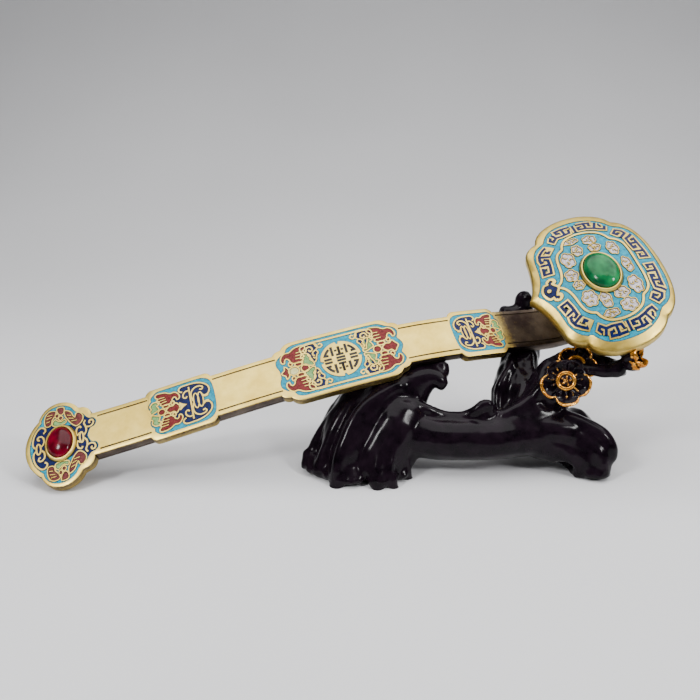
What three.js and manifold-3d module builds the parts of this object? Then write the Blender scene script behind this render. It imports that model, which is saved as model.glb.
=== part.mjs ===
// A ruyi sceptre of cast brass, inlaid with enamel and two oval cabochons, lying face up
// across its carved root stand. Millimetres, +Z up; the origin is under the middle of the whole.

import * as THREE from 'three';
import { mergeVertices } from 'three/addons/utils/BufferGeometryUtils.js';
import Module from 'manifold-3d';

const wasm = await Module();
wasm.setup();

// Sceptre: the long shaft. Distances along it are measured on its face, from the tail's tip
const SHAFT_LENGTH = 355;
const BAR_WIDTH = 28;
const PLATE_DEPTH = 5.6;
const SPINE_DEPTH = 8.6;
const NECK_DEPTH = 7.2;
const SPINE_INSET = 0.4;
const SPINE_BITE = 1;
const TAIL_LENGTH = 40.4;
const TAIL_TIP_RADIUS = 23.8;
const TAIL_NOTCH_WIDTH = 36.8;
const TAIL_LOBE_RADIUS = 13.2;
const TAIL_LOBE_ALONG = 21.2;
const TAIL_LOBE_ACROSS = 14.7;
const TAIL_EAR_RADIUS = 6.6;
const SMALL_PLAQUE_WIDTH = 34.2;
const LOWER_PLAQUE = { from: 73.5, to: 114.2 };
const UPPER_PLAQUE = { from: 262.3, to: 293.1 };
const SHOULDER = 4.2;
const MIDDLE_PLAQUE = { from: 152.2, to: 230.4 };
const MIDDLE_PLAQUE_WIDTH = 41;
const MIDDLE_STEP_WIDTH = 33.4;
const MIDDLE_STEP_LENGTH = 5.4;

// Side profile of the face in percent of the shaft's length: along, up. It arches, dips at the
// neck and curls up into the head
const FACE_PROFILE = [
  [0, -0.34], [11.41, -0.25], [20.7, 0], [31.97, 0.7], [42.96, 1.04], [53.94, 0.73], [64.93, -0.17],
  [73.94, -2.11], [81.83, -4.56], [87.18, -6.54], [91.69, -7.72], [95.92, -7.32], [98.87, -4.79],
  [99.86, -1.41], [100, 1.41],
];

// Head: a domed plate with a lobed outline, measured from the cusp at the neck
const HEAD_LENGTH = 81.5;
const HEAD_WIDTH = 100;
const HEAD_PITCH = 3.4;
const HEAD_CENTRE = 42;
const HEAD_DEPTH = 5.8;
const HEAD_DOME = 7;
const HEAD_DOME_FALL = 3;
const HEAD_EDGE = 1.2;
const HEAD_OVERHANG = 46.5;
const NECK_BITE = 3.4;

// Half of the head's outline in percent of its length and half width
const HEAD_HALF_OUTLINE = [
  { notch: [11.5, 60], bows: [[7.9, 15], [10.1, 40]] },
  { notch: [23.1, 77], bows: [[13.5, 73]] },
  { notch: [83.2, 74.8], bows: [[27.6, 109], [72.4, 110]] },
  { notch: [100, 0], bows: [[95.7, 66], [100, 36]] },
];

// Stones: half lengths along and across the sceptre, and their collars
const GREEN_STONE = { along: 9.6, across: 12.8, girdle: 2.4, dome: 7 };
const RED_STONE = { along: 7.4, across: 9.8, girdle: 1.8, dome: 5.6 };
const GREEN_STONE_AT = 43.7;
const RED_STONE_AT = 21.2;
const GREEN_COLLAR_HEIGHT = 2.6;
const RED_COLLAR_HEIGHT = 1.6;
const COLLAR_WALL = 1.8;
const SEAT_SINK = 1;
const GAP = 0.3;

// Pose of the sceptre on the stand: how far the neck lies above the tail, and the turns in degrees
const NECK_LIFT = 87.9;
const YAW = 8.1;
const ROLL = 37.7;
const TAIL_CLEARANCE = 0.2;

// Stand: where its two cradles hold the shaft in percent of the face, and its flowers
const LEFT_CRADLE = 58.19;
const RIGHT_CRADLE = 82.83;
const FLOWER_RADIUS = 15;
const FLOWER_THICKNESS = 4.5;
const BUD_RADIUS = 7;
const FRONT_FLOWER = [114.5, -57.9, 79.1];
const UPPER_FLOWER = [123, -50.5, 87.9];
const BUD = [160, -71.7, 93.4];

const radians = THREE.MathUtils.degToRad;
const v3 = (x, y, z) => new THREE.Vector3(x, y, z);

// Moves every vertex (x, y, z) of a geometry to where place(x, y, z) says
function reshape(geometry, place) {
  const position = geometry.attributes.position;
  for (let i = 0; i < position.count; i++) {
    const moved = place(position.getX(i), position.getY(i), position.getZ(i));
    position.setXYZ(i, moved.x, moved.y, moved.z);
  }
  return geometry;
}

// Turns a geometry into a solid with its faces pointing out
function solid(geometry) {
  const plain = geometry.clone();
  plain.deleteAttribute('normal');
  plain.deleteAttribute('uv');
  const merged = mergeVertices(plain, 1e-4);
  const points = merged.attributes.position.array;
  const corners = [...merged.index.array];
  const at = (i) => v3(points[3 * i], points[3 * i + 1], points[3 * i + 2]);
  const kept = [];
  let volume = 0;
  for (let i = 0; i < corners.length; i += 3) {
    const [a, b, c] = corners.slice(i, i + 3);
    if (a === b || b === c || c === a) continue;
    kept.push([a, b, c]);
    volume += at(a).dot(at(b).cross(at(c)));
  }
  const triVerts = new Uint32Array(kept.flatMap(([a, b, c]) => (volume > 0 ? [a, b, c] : [a, c, b])));
  return new wasm.Manifold(new wasm.Mesh({ numProp: 3, vertProperties: new Float32Array(points), triVerts }));
}

function unite(solids) {
  return solids.reduce((sum, next) => sum.add(next));
}

function geometryOf(body) {
  const mesh = body.getMesh();
  const geometry = new THREE.BufferGeometry();
  const points = new Float32Array(mesh.numVert * 3);
  for (let i = 0; i < mesh.numVert; i++) {
    points.set(mesh.vertProperties.subarray(i * mesh.numProp, i * mesh.numProp + 3), i * 3);
  }
  geometry.setAttribute('position', new THREE.BufferAttribute(points, 3));
  geometry.setIndex(new THREE.BufferAttribute(new Uint32Array(mesh.triVerts), 1));
  return geometry;
}

// The face line of the shaft in the sceptre's frame: x along, y across, z out of the face
const faceLine = new THREE.CatmullRomCurve3(
  FACE_PROFILE.map(([along, up]) => v3(along, 0, up).multiplyScalar(SHAFT_LENGTH / 100)), false, 'centripetal');
faceLine.arcLengthDivisions = 800;
const FACE_LENGTH = faceLine.getLength();

// A point at some distance along the face, off to a side and below or above the face
function onShaft(along, across, up) {
  const t = THREE.MathUtils.clamp(along / FACE_LENGTH, 0, 1);
  const tangent = faceLine.getTangentAt(t);
  const outward = v3(-tangent.z, 0, tangent.x);
  return faceLine.getPointAt(t).addScaledVector(outward, up).add(v3(0, across, 0));
}

// One long edge of the face, from the tail tip to the neck's end
function shaftEdge() {
  const bar = BAR_WIDTH / 2;
  const edge = new THREE.Path();
  const tipEnd = Math.asin(TAIL_NOTCH_WIDTH / 2 / TAIL_TIP_RADIUS);
  edge.absarc(TAIL_TIP_RADIUS, 0, TAIL_TIP_RADIUS, radians(175), Math.PI - tipEnd, true);
  const notch = edge.currentPoint;
  const lobeStart = Math.atan2(notch.y - TAIL_LOBE_ACROSS, notch.x - TAIL_LOBE_ALONG);
  edge.absarc(TAIL_LOBE_ALONG, TAIL_LOBE_ACROSS, TAIL_LOBE_RADIUS, lobeStart, radians(29), true);
  edge.absarc(TAIL_LENGTH - TAIL_EAR_RADIUS, bar, TAIL_EAR_RADIUS, radians(88), 0, true);
  smallShoulders(edge, LOWER_PLAQUE, bar);
  middleShoulders(edge, MIDDLE_PLAQUE, bar);
  smallShoulders(edge, UPPER_PLAQUE, bar);
  edge.lineTo(FACE_LENGTH, bar);
  return edge;
}

function smallShoulders(edge, plaque, bar) {
  const half = SMALL_PLAQUE_WIDTH / 2;
  edge.lineTo(plaque.from, bar);
  edge.quadraticCurveTo(plaque.from + SHOULDER * 0.35, half, plaque.from + SHOULDER, half);
  edge.lineTo(plaque.to - SHOULDER, half);
  edge.quadraticCurveTo(plaque.to - SHOULDER * 0.35, half, plaque.to, bar);
}

function middleShoulders(edge, plaque, bar) {
  const step = MIDDLE_STEP_WIDTH / 2;
  const half = MIDDLE_PLAQUE_WIDTH / 2;
  const inner = plaque.from + MIDDLE_STEP_LENGTH;
  const outer = plaque.to - MIDDLE_STEP_LENGTH;
  edge.lineTo(plaque.from, bar);
  edge.quadraticCurveTo(plaque.from + SHOULDER * 0.35, step, inner, step);
  edge.quadraticCurveTo(inner + SHOULDER * 0.6, half, inner + SHOULDER * 1.7, half);
  edge.lineTo(outer - SHOULDER * 1.7, half);
  edge.quadraticCurveTo(outer - SHOULDER * 0.6, half, outer, step);
  edge.quadraticCurveTo(plaque.to - SHOULDER * 0.35, step, plaque.to, bar);
}

// Distances along the face at which the shaft's section is drawn, with the half width there
function shaftStations(keep = () => true) {
  const corners = [];
  for (const p of shaftEdge().getPoints(6)) {
    const last = corners[corners.length - 1];
    if (last && p.x < last.x + 0.02) continue;
    corners.push(p);
  }
  const stations = [corners[0]];
  for (const next of corners.slice(1)) {
    const last = stations[stations.length - 1];
    const step = next.x > UPPER_PLAQUE.to ? 4 : 10;
    const parts = Math.max(1, Math.ceil((next.x - last.x) / step));
    for (let i = 1; i <= parts; i++) {
      stations.push(last.clone().lerp(next, i / parts));
    }
  }
  return stations.filter(keep);
}

// A bar of oblong section bent along the face line: stations give along and half width
function bentBar(stations, top, bottom) {
  const box = new THREE.BoxGeometry(1, 1, 1, stations.length - 1, 1, 1);
  return reshape(box, (x, y, z) => {
    const station = stations[Math.round((x + 0.5) * (stations.length - 1))];
    const up = z > 0 ? top : bottom(station.x);
    return onShaft(station.x, Math.sign(y) * station.y, up);
  });
}

function spineBottom(along) {
  const t = THREE.MathUtils.smoothstep(along, MIDDLE_PLAQUE.from, UPPER_PLAQUE.from);
  return -THREE.MathUtils.lerp(SPINE_DEPTH, NECK_DEPTH, t);
}

// The face plate, with its plaques, over the deeper spine; grow widens both all round
function shaft(grow = 0) {
  const plate = shaftStations().map((p) => new THREE.Vector2(p.x, p.y + grow));
  const spine = shaftStations((p) => p.x > TAIL_LENGTH / 2)
    .map((p) => new THREE.Vector2(p.x, BAR_WIDTH / 2 - SPINE_INSET + grow));
  return [
    solid(bentBar(plate, grow, () => -PLATE_DEPTH - grow)),
    solid(bentBar(spine, SPINE_BITE - PLATE_DEPTH, (along) => spineBottom(along) - grow)),
  ];
}

// The head's outline, one half drawn and then mirrored, from the cusp round to the cusp
function headOutline() {
  const half = new THREE.Path();
  const scaled = ([along, across]) => [along * HEAD_LENGTH / 100, across * HEAD_WIDTH / 200];
  half.moveTo(0, 0);
  for (const { notch, bows } of HEAD_HALF_OUTLINE) {
    const points = [...bows, notch].flatMap(scaled);
    if (bows.length === 2) {
      half.bezierCurveTo(...points);
    } else {
      half.quadraticCurveTo(...points);
    }
  }
  const right = half.getPoints(9);
  const left = right.slice(1, -1).reverse().map((p) => new THREE.Vector2(p.x, -p.y));
  return [...right, ...left];
}

// Profile of the head plate: share of the way out to the edge, and height
function headProfile(grow) {
  const dome = (share) => [share, HEAD_DOME * (1 - share ** HEAD_DOME_FALL) + grow];
  return [
    [0, -HEAD_DEPTH - grow], [0.95, -HEAD_DEPTH - grow], [1, HEAD_EDGE - HEAD_DEPTH], [1, -HEAD_EDGE],
    ...[0.97, 0.9, 0.8, 0.68, 0.52, 0.3, 0].map(dome),
  ].map(([share, up]) => new THREE.Vector2(share, up));
}

function headPlate(grow = 0) {
  const outline = headOutline();
  const plate = new THREE.LatheGeometry(headProfile(grow), outline.length);
  const widen = 1 + grow / HEAD_CENTRE;
  return solid(reshape(plate, (x, y, z) => {
    const turn = (Math.atan2(x, z) / (2 * Math.PI) + 1) % 1;
    const edge = outline[Math.round(turn * outline.length) % outline.length];
    const share = Math.hypot(x, z) * widen;
    return onHead(HEAD_CENTRE + (edge.x - HEAD_CENTRE) * share, edge.y * share, y);
  }));
}

// The neck's end runs into the head from below, some way in from the head's cusp
function onHead(along, across, up) {
  const neckEnd = faceLine.getPointAt(1);
  return v3(along - HEAD_OVERHANG, across, up + HEAD_DEPTH - NECK_BITE)
    .applyAxisAngle(v3(0, 1, 0), radians(-HEAD_PITCH))
    .add(neckEnd);
}

// An oval stone: a flat back, a short straight girdle and a domed top, standing on height 0
function stoneGeometry(stone, grow = 0) {
  const profile = [[0, -grow], [1, -grow], [1, stone.girdle]];
  for (const angle of [20, 40, 58, 74]) {
    const a = radians(angle);
    profile.push([Math.cos(a), stone.girdle + (stone.dome - stone.girdle) * Math.sin(a)]);
  }
  profile.push([0, stone.dome]);
  const oval = new THREE.LatheGeometry(profile.map(([r, up]) => new THREE.Vector2(r, up)), 28);
  return reshape(oval, (x, y, z) => v3(x * (stone.along + grow), z * (stone.across + grow), y));
}

function collarGeometry(stone, bottom, top) {
  const ring = new THREE.CylinderGeometry(1, 1, 1, 28, 1);
  return reshape(ring, (x, y, z) => v3(x * (stone.along + GAP + COLLAR_WALL),
    z * (stone.across + GAP + COLLAR_WALL), y > 0 ? top : bottom));
}

const onTail = (x, y, z) => onShaft(RED_STONE_AT + x, y, z);
const onCrown = (x, y, z) => onHead(GREEN_STONE_AT + x, y, HEAD_DOME + z);
const seated = (geometry, place, lift = 0) => reshape(geometry, (x, y, z) => place(x, y, z + lift));

const redStone = seated(stoneGeometry(RED_STONE), onTail, GAP - SEAT_SINK);
const greenStone = seated(stoneGeometry(GREEN_STONE), onCrown, GAP - SEAT_SINK);

function sceptreBody() {
  const collars = [
    solid(seated(collarGeometry(RED_STONE, -SEAT_SINK, RED_COLLAR_HEIGHT), onTail)),
    solid(seated(collarGeometry(GREEN_STONE, -SEAT_SINK * 2, GREEN_COLLAR_HEIGHT), onCrown)),
  ];
  const body = unite([...shaft(), headPlate(), ...collars]);
  return body
    .subtract(solid(seated(stoneGeometry(RED_STONE, GAP), onTail, GAP - SEAT_SINK)))
    .subtract(solid(seated(stoneGeometry(GREEN_STONE, GAP), onCrown, GAP - SEAT_SINK)));
}

// Where the sceptre's frame stands: turned on the stand, with the tail's lowest corner on the floor
function sceptrePose() {
  const rise = Math.asin(NECK_LIFT / SHAFT_LENGTH);
  const turned = new THREE.Matrix4().makeRotationFromEuler(new THREE.Euler(
    radians(ROLL), -rise, radians(YAW), 'ZYX'));
  const tail = shaftStations((p) => p.x < TAIL_LENGTH)
    .map((p) => onShaft(p.x, -p.y, -PLATE_DEPTH).applyMatrix4(turned).z);
  return turned.setPosition(0, 0, TAIL_CLEARANCE - Math.min(...tail));
}

const pose = sceptrePose();

// The stand is carved freehand between the two seats that the shaft's underside gives
const underFace = (percent, depth) => onShaft(percent / 100 * FACE_LENGTH, 0, -depth).applyMatrix4(pose);
const leftSeat = underFace(LEFT_CRADLE, SPINE_DEPTH);
const rightSeat = underFace(RIGHT_CRADLE, NECK_DEPTH);
const SPAN = rightSeat.x - leftSeat.x;

// A point of the stand. In percent of the span: along from the left seat, and behind the line from
// seat to seat. In percent of that line's own height: up from the floor
function onStand(along, behind, up) {
  const line = leftSeat.clone().lerp(rightSeat, along / 100);
  return v3(line.x, line.y + behind / 100 * SPAN, line.z * up / 100);
}

// A tapering limb of round section through stops of [along, behind, up, radius], all in percent
function limb(stops, sides = 10) {
  const line = new THREE.CatmullRomCurve3(stops.map((stop) => onStand(...stop)), false, 'centripetal');
  const steps = (stops.length - 1) * 2;
  const frames = line.computeFrenetFrames(steps, false);
  const tube = new THREE.CylinderGeometry(1, 1, 1, sides, steps);
  return solid(reshape(tube, (x, y, z) => {
    const index = Math.round((y + 0.5) * steps);
    const place = (index / steps) * (stops.length - 1);
    const before = Math.min(Math.floor(place), stops.length - 2);
    const taper = index === 0 || index === steps ? 0.55 : 1;
    const radius = THREE.MathUtils.lerp(stops[before][3], stops[before + 1][3], place - before) / 100 * SPAN;
    return line.getPoint(index / steps)
      .addScaledVector(frames.normals[index], x * radius * taper)
      .addScaledVector(frames.binormals[index], z * radius * taper);
  }));
}

// The trunk that lies along the stand, with a hooked knot on its back
function trunk() {
  return [
    limb([[-2.1, -19.2, 42.7, 15.9], [18.4, -29.9, 33.9, 15.4], [41.1, -39.1, 30.8, 14.8], [63.9, -46, 30.4, 14.6],
      [86.6, -50.6, 32.4, 14.8], [109.4, -52.9, 34, 15.9]], 12),
    limb([[57.1, -41.6, 38.1, 8], [61.6, -41.9, 49.7, 6.8], [66.7, -42.3, 56.1, 5.1], [69.6, -42, 52.4, 3.4]], 8),
  ];
}

// Roots that spread from the left cradle down to the floor
function leftRoots() {
  return [
    limb([[13.8, -14.9, 63.4, 15.9], [3.6, -22, 42.6, 19.3], [-7.8, -27.7, 18.4, 19.3], [-13.4, -29.4, -6.2, 20.5]], 14),
    limb([[16.1, -13.3, 78.4, 12.5], [-4.3, -13.9, 67.2, 12.5], [-20.3, -20.5, 46.4, 11.4], [-30.5, -27.6, 21.8, 10.2],
      [-33.9, -33.4, -6.2, 9.7]]),
    limb([[-11.2, 1.8, 73.7, 12.5], [-27.1, -4.8, 55.9, 10.8], [-37.3, -13, 31.3, 9.7], [-41.9, -20.8, 6.3, 8.5],
      [-43, -21.6, -6.3, 8.5]]),
    limb([[-6.6, 4.9, 73.5, 13.6], [-25.9, 5.1, 52.7, 11.9], [-39.6, 2.4, 29.8, 10.2], [-47.6, -4.3, 11, 9.1],
      [-49.8, -5.8, -6.3, 9.1]]),
    limb([[4.8, -28.1, 27.3, 12.5], [-5.5, -36.3, 15.3, 9.7], [-8.9, -42.1, -6.1, 9.1]]),
    limb([[11.6, -25.6, 27.2, 12.5], [5.9, -34.1, 9.1, 8], [3.6, -36.8, -6.1, 7.4]]),
    limb([[4.8, -5.3, 63.8, 15.9], [-3.2, 10.7, 39.7, 13.6], [-8.9, 27.2, 15.3, 10.2], [-10, 32.1, -6.1, 10.2]]),
    limb([[-22.5, 2.9, 46.4, 11.4], [-36.2, 16.2, 21.9, 10.2], [-41.9, 22.4, -6.3, 10.2]]),
  ];
}

// The left cradle: a rounded limb that leans out under the shaft, and a short curl behind it
function leftCradle() {
  return [
    limb([[4.8, -14.4, 42.5, 15.9], [11, -12.9, 63.5, 14.8], [18.4, -12.9, 78.2, 13.1], [28.1, -18.1, 82.2, 9.1],
      [34.9, -24.7, 77.4, 5.1], [33.2, -26.4, 71.5, 3.4]]),
    limb([[9.3, -2.2, 75.7, 14.8], [21.8, -4.8, 90.1, 10.8], [30.9, -11, 92.5, 7.4], [35.5, -16.9, 86.3, 5.1],
      [34.3, -20, 78.2, 4]], 8),
  ];
}

// The right cradle: a rugged upright under the neck, with a ledge and a prong behind it
function rightCradle() {
  return [
    limb([[82.1, -33.3, 20.2, 15.9], [85.5, -21.8, 43.2, 14.8], [88.9, -16, 63.2, 14.8], [95.8, 1, 81.9, 13.6],
      [98.1, 6, 90.3, 12.5], [101.5, 9.5, 93, 10.2]], 9),
    limb([[99.1, -2.1, 82.8, 11.4], [100.3, 12.4, 102.7, 9.1], [100.8, 17.3, 116.9, 6.8], [100.3, 18, 125.5, 6.3],
      [99.7, 18.2, 133.4, 5.1]], 8),
    limb([[99.1, 13.8, 102.8, 9.1], [92.3, 19.3, 112.5, 8], [86.6, 21, 116, 5.7], [82.1, 22, 117, 4]], 8),
    limb([[84.3, -18.1, 37.5, 12.5], [95.7, -7.9, 20, 11.4], [100.3, 2.1, -5.7, 11.4]]),
  ];
}

// The bough that sweeps up in front of the neck and carries the flowers, and its budding twig
function bough() {
  return [
    limb([[59.3, -43.5, 31.5, 13.6], [80.9, -46.6, 33.9, 15.9], [95.7, -45.4, 43.6, 16.5], [107.1, -42, 58.2, 15.9],
      [113.9, -37.3, 73.5, 14.8], [117.9, -29.4, 86.7, 10.2]], 12),
    limb([[111.6, -37.7, 79.3, 10.2], [125.3, -46.4, 92.6, 7.4], [138.9, -56.2, 89.8, 6.3], [149.2, -63.9, 85, 6.3],
      [156, -68.8, 87.4, 5.1], [158.8, -70.8, 92.1, 4.5]], 8),
  ];
}

// The right shoulder and its feet
function rightFoot() {
  return [
    limb([[98, -49.5, 32.8, 15.9], [115, -54.7, 31.1, 15.9], [129.8, -62.5, 24.5, 15.9], [137.8, -70.6, 12.5, 14.2],
      [138.4, -75.4, -5.6, 9.7]], 12),
    limb([[86.6, -48.3, 30.2, 13.6], [109.4, -58.6, 24.1, 12.5], [124.1, -66.5, 11.2, 10.8], [131, -70.9, -5.6, 10.8]]),
    limb([[120.7, -47.3, 36.6, 12.5], [134.4, -35.5, 22.3, 11.4], [138.9, -23.2, 7, 9.7], [140.1, -20.2, -5.6, 9.7]]),
  ];
}

// A five-petalled flower facing the front, with a raised heart
function flower(centre, radius) {
  const turn = new THREE.Quaternion().setFromUnitVectors(v3(0, 0, 1), v3(-0.16, -0.92, 0.36).normalize());
  const place = (x, y, z) => v3(x, y, z).applyQuaternion(turn).add(onStand(...centre));
  const disc = new THREE.CylinderGeometry(1, 0.7, FLOWER_THICKNESS, 30, 1);
  const heart = new THREE.CylinderGeometry(0.24, 0.3, FLOWER_THICKNESS, 12, 1);
  return [
    solid(reshape(disc, (x, y, z) => {
      const lobe = radius * (0.76 + 0.24 * Math.abs(Math.cos(2.5 * Math.atan2(z, x))) ** 0.7);
      return place(x * lobe, z * lobe, y);
    })),
    solid(reshape(heart, (x, y, z) => place(x * radius, z * radius, y + FLOWER_THICKNESS / 2))),
  ];
}

function bud() {
  const centre = onStand(...BUD);
  return [solid(new THREE.SphereGeometry(BUD_RADIUS, 10, 7).translate(centre.x, centre.y, centre.z))];
}

// The floor cuts the feet flat, and the sceptre with its clearance cuts the seats
function standBody() {
  const carved = unite([...trunk(), ...leftRoots(), ...leftCradle(), ...rightCradle(), ...bough(), ...rightFoot(),
    ...flower(FRONT_FLOWER, FLOWER_RADIUS), ...flower(UPPER_FLOWER, FLOWER_RADIUS), ...bud()]);
  const clear = unite([...shaft(GAP), headPlate(GAP)]).transform(pose.elements);
  return carved.trimByPlane([0, 0, 1], 0).subtract(clear);
}

const finish = {
  brass: new THREE.MeshStandardMaterial({ color: 0xb9a56a, roughness: 0.38, metalness: 1 }),
  redGlass: new THREE.MeshStandardMaterial({ color: 0x6d0a20, roughness: 0.08, metalness: 0 }),
  greenStone: new THREE.MeshStandardMaterial({ color: 0x1f7a46, roughness: 0.1, metalness: 0 }),
  blackLacquer: new THREE.MeshStandardMaterial({ color: 0x120c10, roughness: 0.18, metalness: 0 }),
};

function named(name, geometry, material) {
  const mesh = new THREE.Mesh(geometry, material);
  mesh.name = name;
  return mesh;
}

const sceptre = new THREE.Group();
sceptre.add(
  named('sceptre_body', geometryOf(sceptreBody()), finish.brass),
  named('red_cabochon', geometryOf(solid(redStone)), finish.redGlass),
  named('green_cabochon', geometryOf(solid(greenStone)), finish.greenStone),
);
sceptre.applyMatrix4(pose);

const whole = new THREE.Group();
whole.add(sceptre, named('stand', geometryOf(standBody()), finish.blackLacquer));

// Sets the middle of the whole over the origin, on the floor
const extent = new THREE.Box3().setFromObject(whole, true);
const middle = extent.getCenter(v3());
whole.position.set(-middle.x, -middle.y, -extent.min.z);

const model = new THREE.Group();
model.add(whole);

export default model;
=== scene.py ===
"""A ruyi sceptre of cast brass with enamelled plaques, on its black root stand.

Lengths below are in millimetres, as in the part's own drawing, and become metres where a mesh is placed.
The enamel is drawn flat, as the enameller sees it, and then bent onto the shaft or the domed head.
"""

import math

import bmesh
import bpy
import numpy as np
from mathutils import Matrix, Vector, noise
from mathutils.bvhtree import BVHTree


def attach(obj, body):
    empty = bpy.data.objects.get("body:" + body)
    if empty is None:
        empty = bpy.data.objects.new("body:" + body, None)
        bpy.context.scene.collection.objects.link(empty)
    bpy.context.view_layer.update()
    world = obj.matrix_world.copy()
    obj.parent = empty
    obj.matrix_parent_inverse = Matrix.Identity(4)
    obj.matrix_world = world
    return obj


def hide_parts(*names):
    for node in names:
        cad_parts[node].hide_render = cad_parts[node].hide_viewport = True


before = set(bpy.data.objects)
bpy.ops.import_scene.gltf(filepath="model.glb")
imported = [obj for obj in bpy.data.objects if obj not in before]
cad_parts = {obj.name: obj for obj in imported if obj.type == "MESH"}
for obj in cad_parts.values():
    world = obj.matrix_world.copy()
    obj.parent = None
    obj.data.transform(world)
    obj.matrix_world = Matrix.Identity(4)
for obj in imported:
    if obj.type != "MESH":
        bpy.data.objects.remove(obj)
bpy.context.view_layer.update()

MM = 0.001

# The sceptre's own sizes, as its solid was drawn
SHAFT_LENGTH = 355
FACE_PROFILE = [
    (0, -0.34), (11.41, -0.25), (20.7, 0), (31.97, 0.7), (42.96, 1.04), (53.94, 0.73), (64.93, -0.17),
    (73.94, -2.11), (81.83, -4.56), (87.18, -6.54), (91.69, -7.72), (95.92, -7.32), (98.87, -4.79),
    (99.86, -1.41), (100, 1.41),
]
BAR_HALF = 14
PLATE_DEPTH = 5.6
SPINE_DEPTH = 8.6
SPINE_INSET = 0.4
NECK_DEPTH = 7.2
RIM_ROUND = 0.5
TIP_RADIUS = 23.8
TIP_NOTCH_HALF = 18.4
LOBE_RADIUS = 13.2
LOBE_AT = (21.2, 14.7)
TAIL_LENGTH = 40.4
EAR_RADIUS = 6.6
SHOULDER = 4.2
SMALL_HALF = 17.1
LOWER_PLAQUE = (73.5, 114.2)
UPPER_PLAQUE = (262.3, 293.1)
MIDDLE_PLAQUE = (152.2, 230.4)
MIDDLE_HALF = 20.5
MIDDLE_STEP_HALF = 16.7
MIDDLE_STEP = 5.4

HEAD_LENGTH = 81.5
HEAD_HALF = 50
HEAD_CENTRE = 42
HEAD_DEPTH = 5.8
HEAD_DOME = 7
HEAD_DOME_FALL = 3
HEAD_RIM_ROUND = 0.9
HEAD_OVERHANG = 46.5
HEAD_PITCH = math.radians(3.4)
NECK_BITE = 3.4
HEAD_BENDS = [
    [(7.9, 15), (10.1, 40), (11.5, 60)], [(13.5, 73), (23.1, 77)],
    [(27.6, 109), (72.4, 110), (83.2, 74.8)], [(95.7, 66), (100, 36), (100, 0)],
]

RED_STONE_AT = 21.2
RED_STONE = (7.4, 9.8)
RED_GIRDLE, RED_DOME = 1.8, 5.6
GREEN_STONE_AT = 43.7
GREEN_STONE = (9.6, 12.8)
GREEN_GIRDLE, GREEN_DOME = 2.4, 7
COLLAR_WALL = 1.8
RED_COLLAR, GREEN_COLLAR = 1.3, 1.4
SEAT_SINK = 1
GAP = 0.3
TURNED_AT = 100

# Its place: turned on the stand, with the tail's tip over the origin given here
SCEPTRE_AT = Vector((-188.16, -33.56, 17.24))
YAW, RISE, ROLL = math.radians(8.1), math.asin(87.9 / SHAFT_LENGTH), math.radians(37.7)

# Champleve work: how deep the beds are cut, how the enamel stands in them, and the brass lines
BED = 0.4
ENAMEL = -0.22
LINE_TOP = 0.03
LINE = 0.7
GROUND = ENAMEL + 0.02
CELL = ENAMEL + 0.03
FRET_WIDTH = 1.7
FRET_MARGIN = 0.85
FRET_BASE, FRET_TOP = LINE_TOP - 0.02, LINE_TOP + 0.01
STROKE_WIDTH, STROKE_TOP = 1.6, LINE_TOP + 0.02

# How the outlines bend: steps to a curve, and how far a plaque's shoulders pull it out
PROFILE_STEPS, HEAD_STEPS, BEND_STEPS = 60, 14, 8
PULL = SHOULDER * 0.35
WIDE_SHOULDER, WIDE_PULL = SHOULDER * 1.7, SHOULDER * 0.6
SHAFT_CUT, HEAD_CUT = 4, 3

# How dark the brass is made, from 0 where it is rubbed to 1: tarnish in the beds and down the sides, painted
# shade on the neck
BED_PATINA, NECK_PAINTED_SHADE, PLAQUE_SIDE, HEAD_SIDE = 0.7, 0.8, 0.3, 0.4
SIDE_START, SIDE_FADE, NECK_SHADE_FADE = 0.4, 4, 14
NECK_SHADE_FROM = UPPER_PLAQUE[1] - 6


# Bending the flat drawing onto the sceptre


def face_line():
    """The face's side profile: distance gone along it, its points and its directions."""
    points = [Vector(p) * SHAFT_LENGTH / 100 for p in FACE_PROFILE]
    points = [2 * points[0] - points[1], *points, 2 * points[-1] - points[-2]]
    line = []
    for a, b, c, d in zip(points, points[1:], points[2:], points[3:]):
        before, here, after = (math.sqrt((q - p).length) for p, q in ((a, b), (b, c), (c, d)))
        out = ((b - a) / before - (c - a) / (before + here) + (c - b) / here) * here
        into = ((c - b) / here - (d - b) / (here + after) + (d - c) / after) * here
        for t in np.arange(0, 1, 1 / PROFILE_STEPS):
            line.append(b + out * t + (3 * (c - b) - 2 * out - into) * t**2
                        + (2 * (b - c) + out + into) * t**3)
    line = np.array(line + [points[-2]])
    gone = np.concatenate([[0], np.cumsum(np.linalg.norm(np.diff(line, axis=0), axis=1))])
    ways = np.gradient(line, gone, axis=0)
    return gone, line, ways / np.linalg.norm(ways, axis=1)[:, None]


GONE, LINE_POINTS, LINE_WAYS = face_line()
FACE_LENGTH = GONE[-1]
TO_ROW = (Matrix.Translation(SCEPTRE_AT) @ Matrix.Rotation(YAW, 4, "Z")
          @ Matrix.Rotation(-RISE, 4, "Y") @ Matrix.Rotation(ROLL, 4, "X"))


def on_shaft(flat):
    """Bends points onto the shaft: along the face from the tail's tip, across, and up from it."""
    along, across, up = flat.T
    x, z, way_x, way_z = (np.interp(along, GONE, column) for column in (*LINE_POINTS.T, *LINE_WAYS.T))
    return np.stack([x - way_z * up, across, z + way_x * up], axis=1)


def bezier(points, steps):
    """A curve from the first point to the last, drawn to the points between."""
    for t in np.linspace(0, 1, steps + 1)[1:]:
        row = [Vector(p) for p in points]
        while len(row) > 1:
            row = [a.lerp(b, t) for a, b in zip(row, row[1:])]
        yield row[0]


def head_edge():
    """The head's lobed outline, from the cusp round to the cusp."""
    half = [Vector((0, 0))]
    for bend in HEAD_BENDS:
        stops = [Vector((x * HEAD_LENGTH, y * HEAD_HALF)) / 100 for x, y in bend]
        half += bezier([half[-1], *stops], HEAD_STEPS)
    return half + [Vector((p.x, -p.y)) for p in reversed(half[1:-1])]


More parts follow.
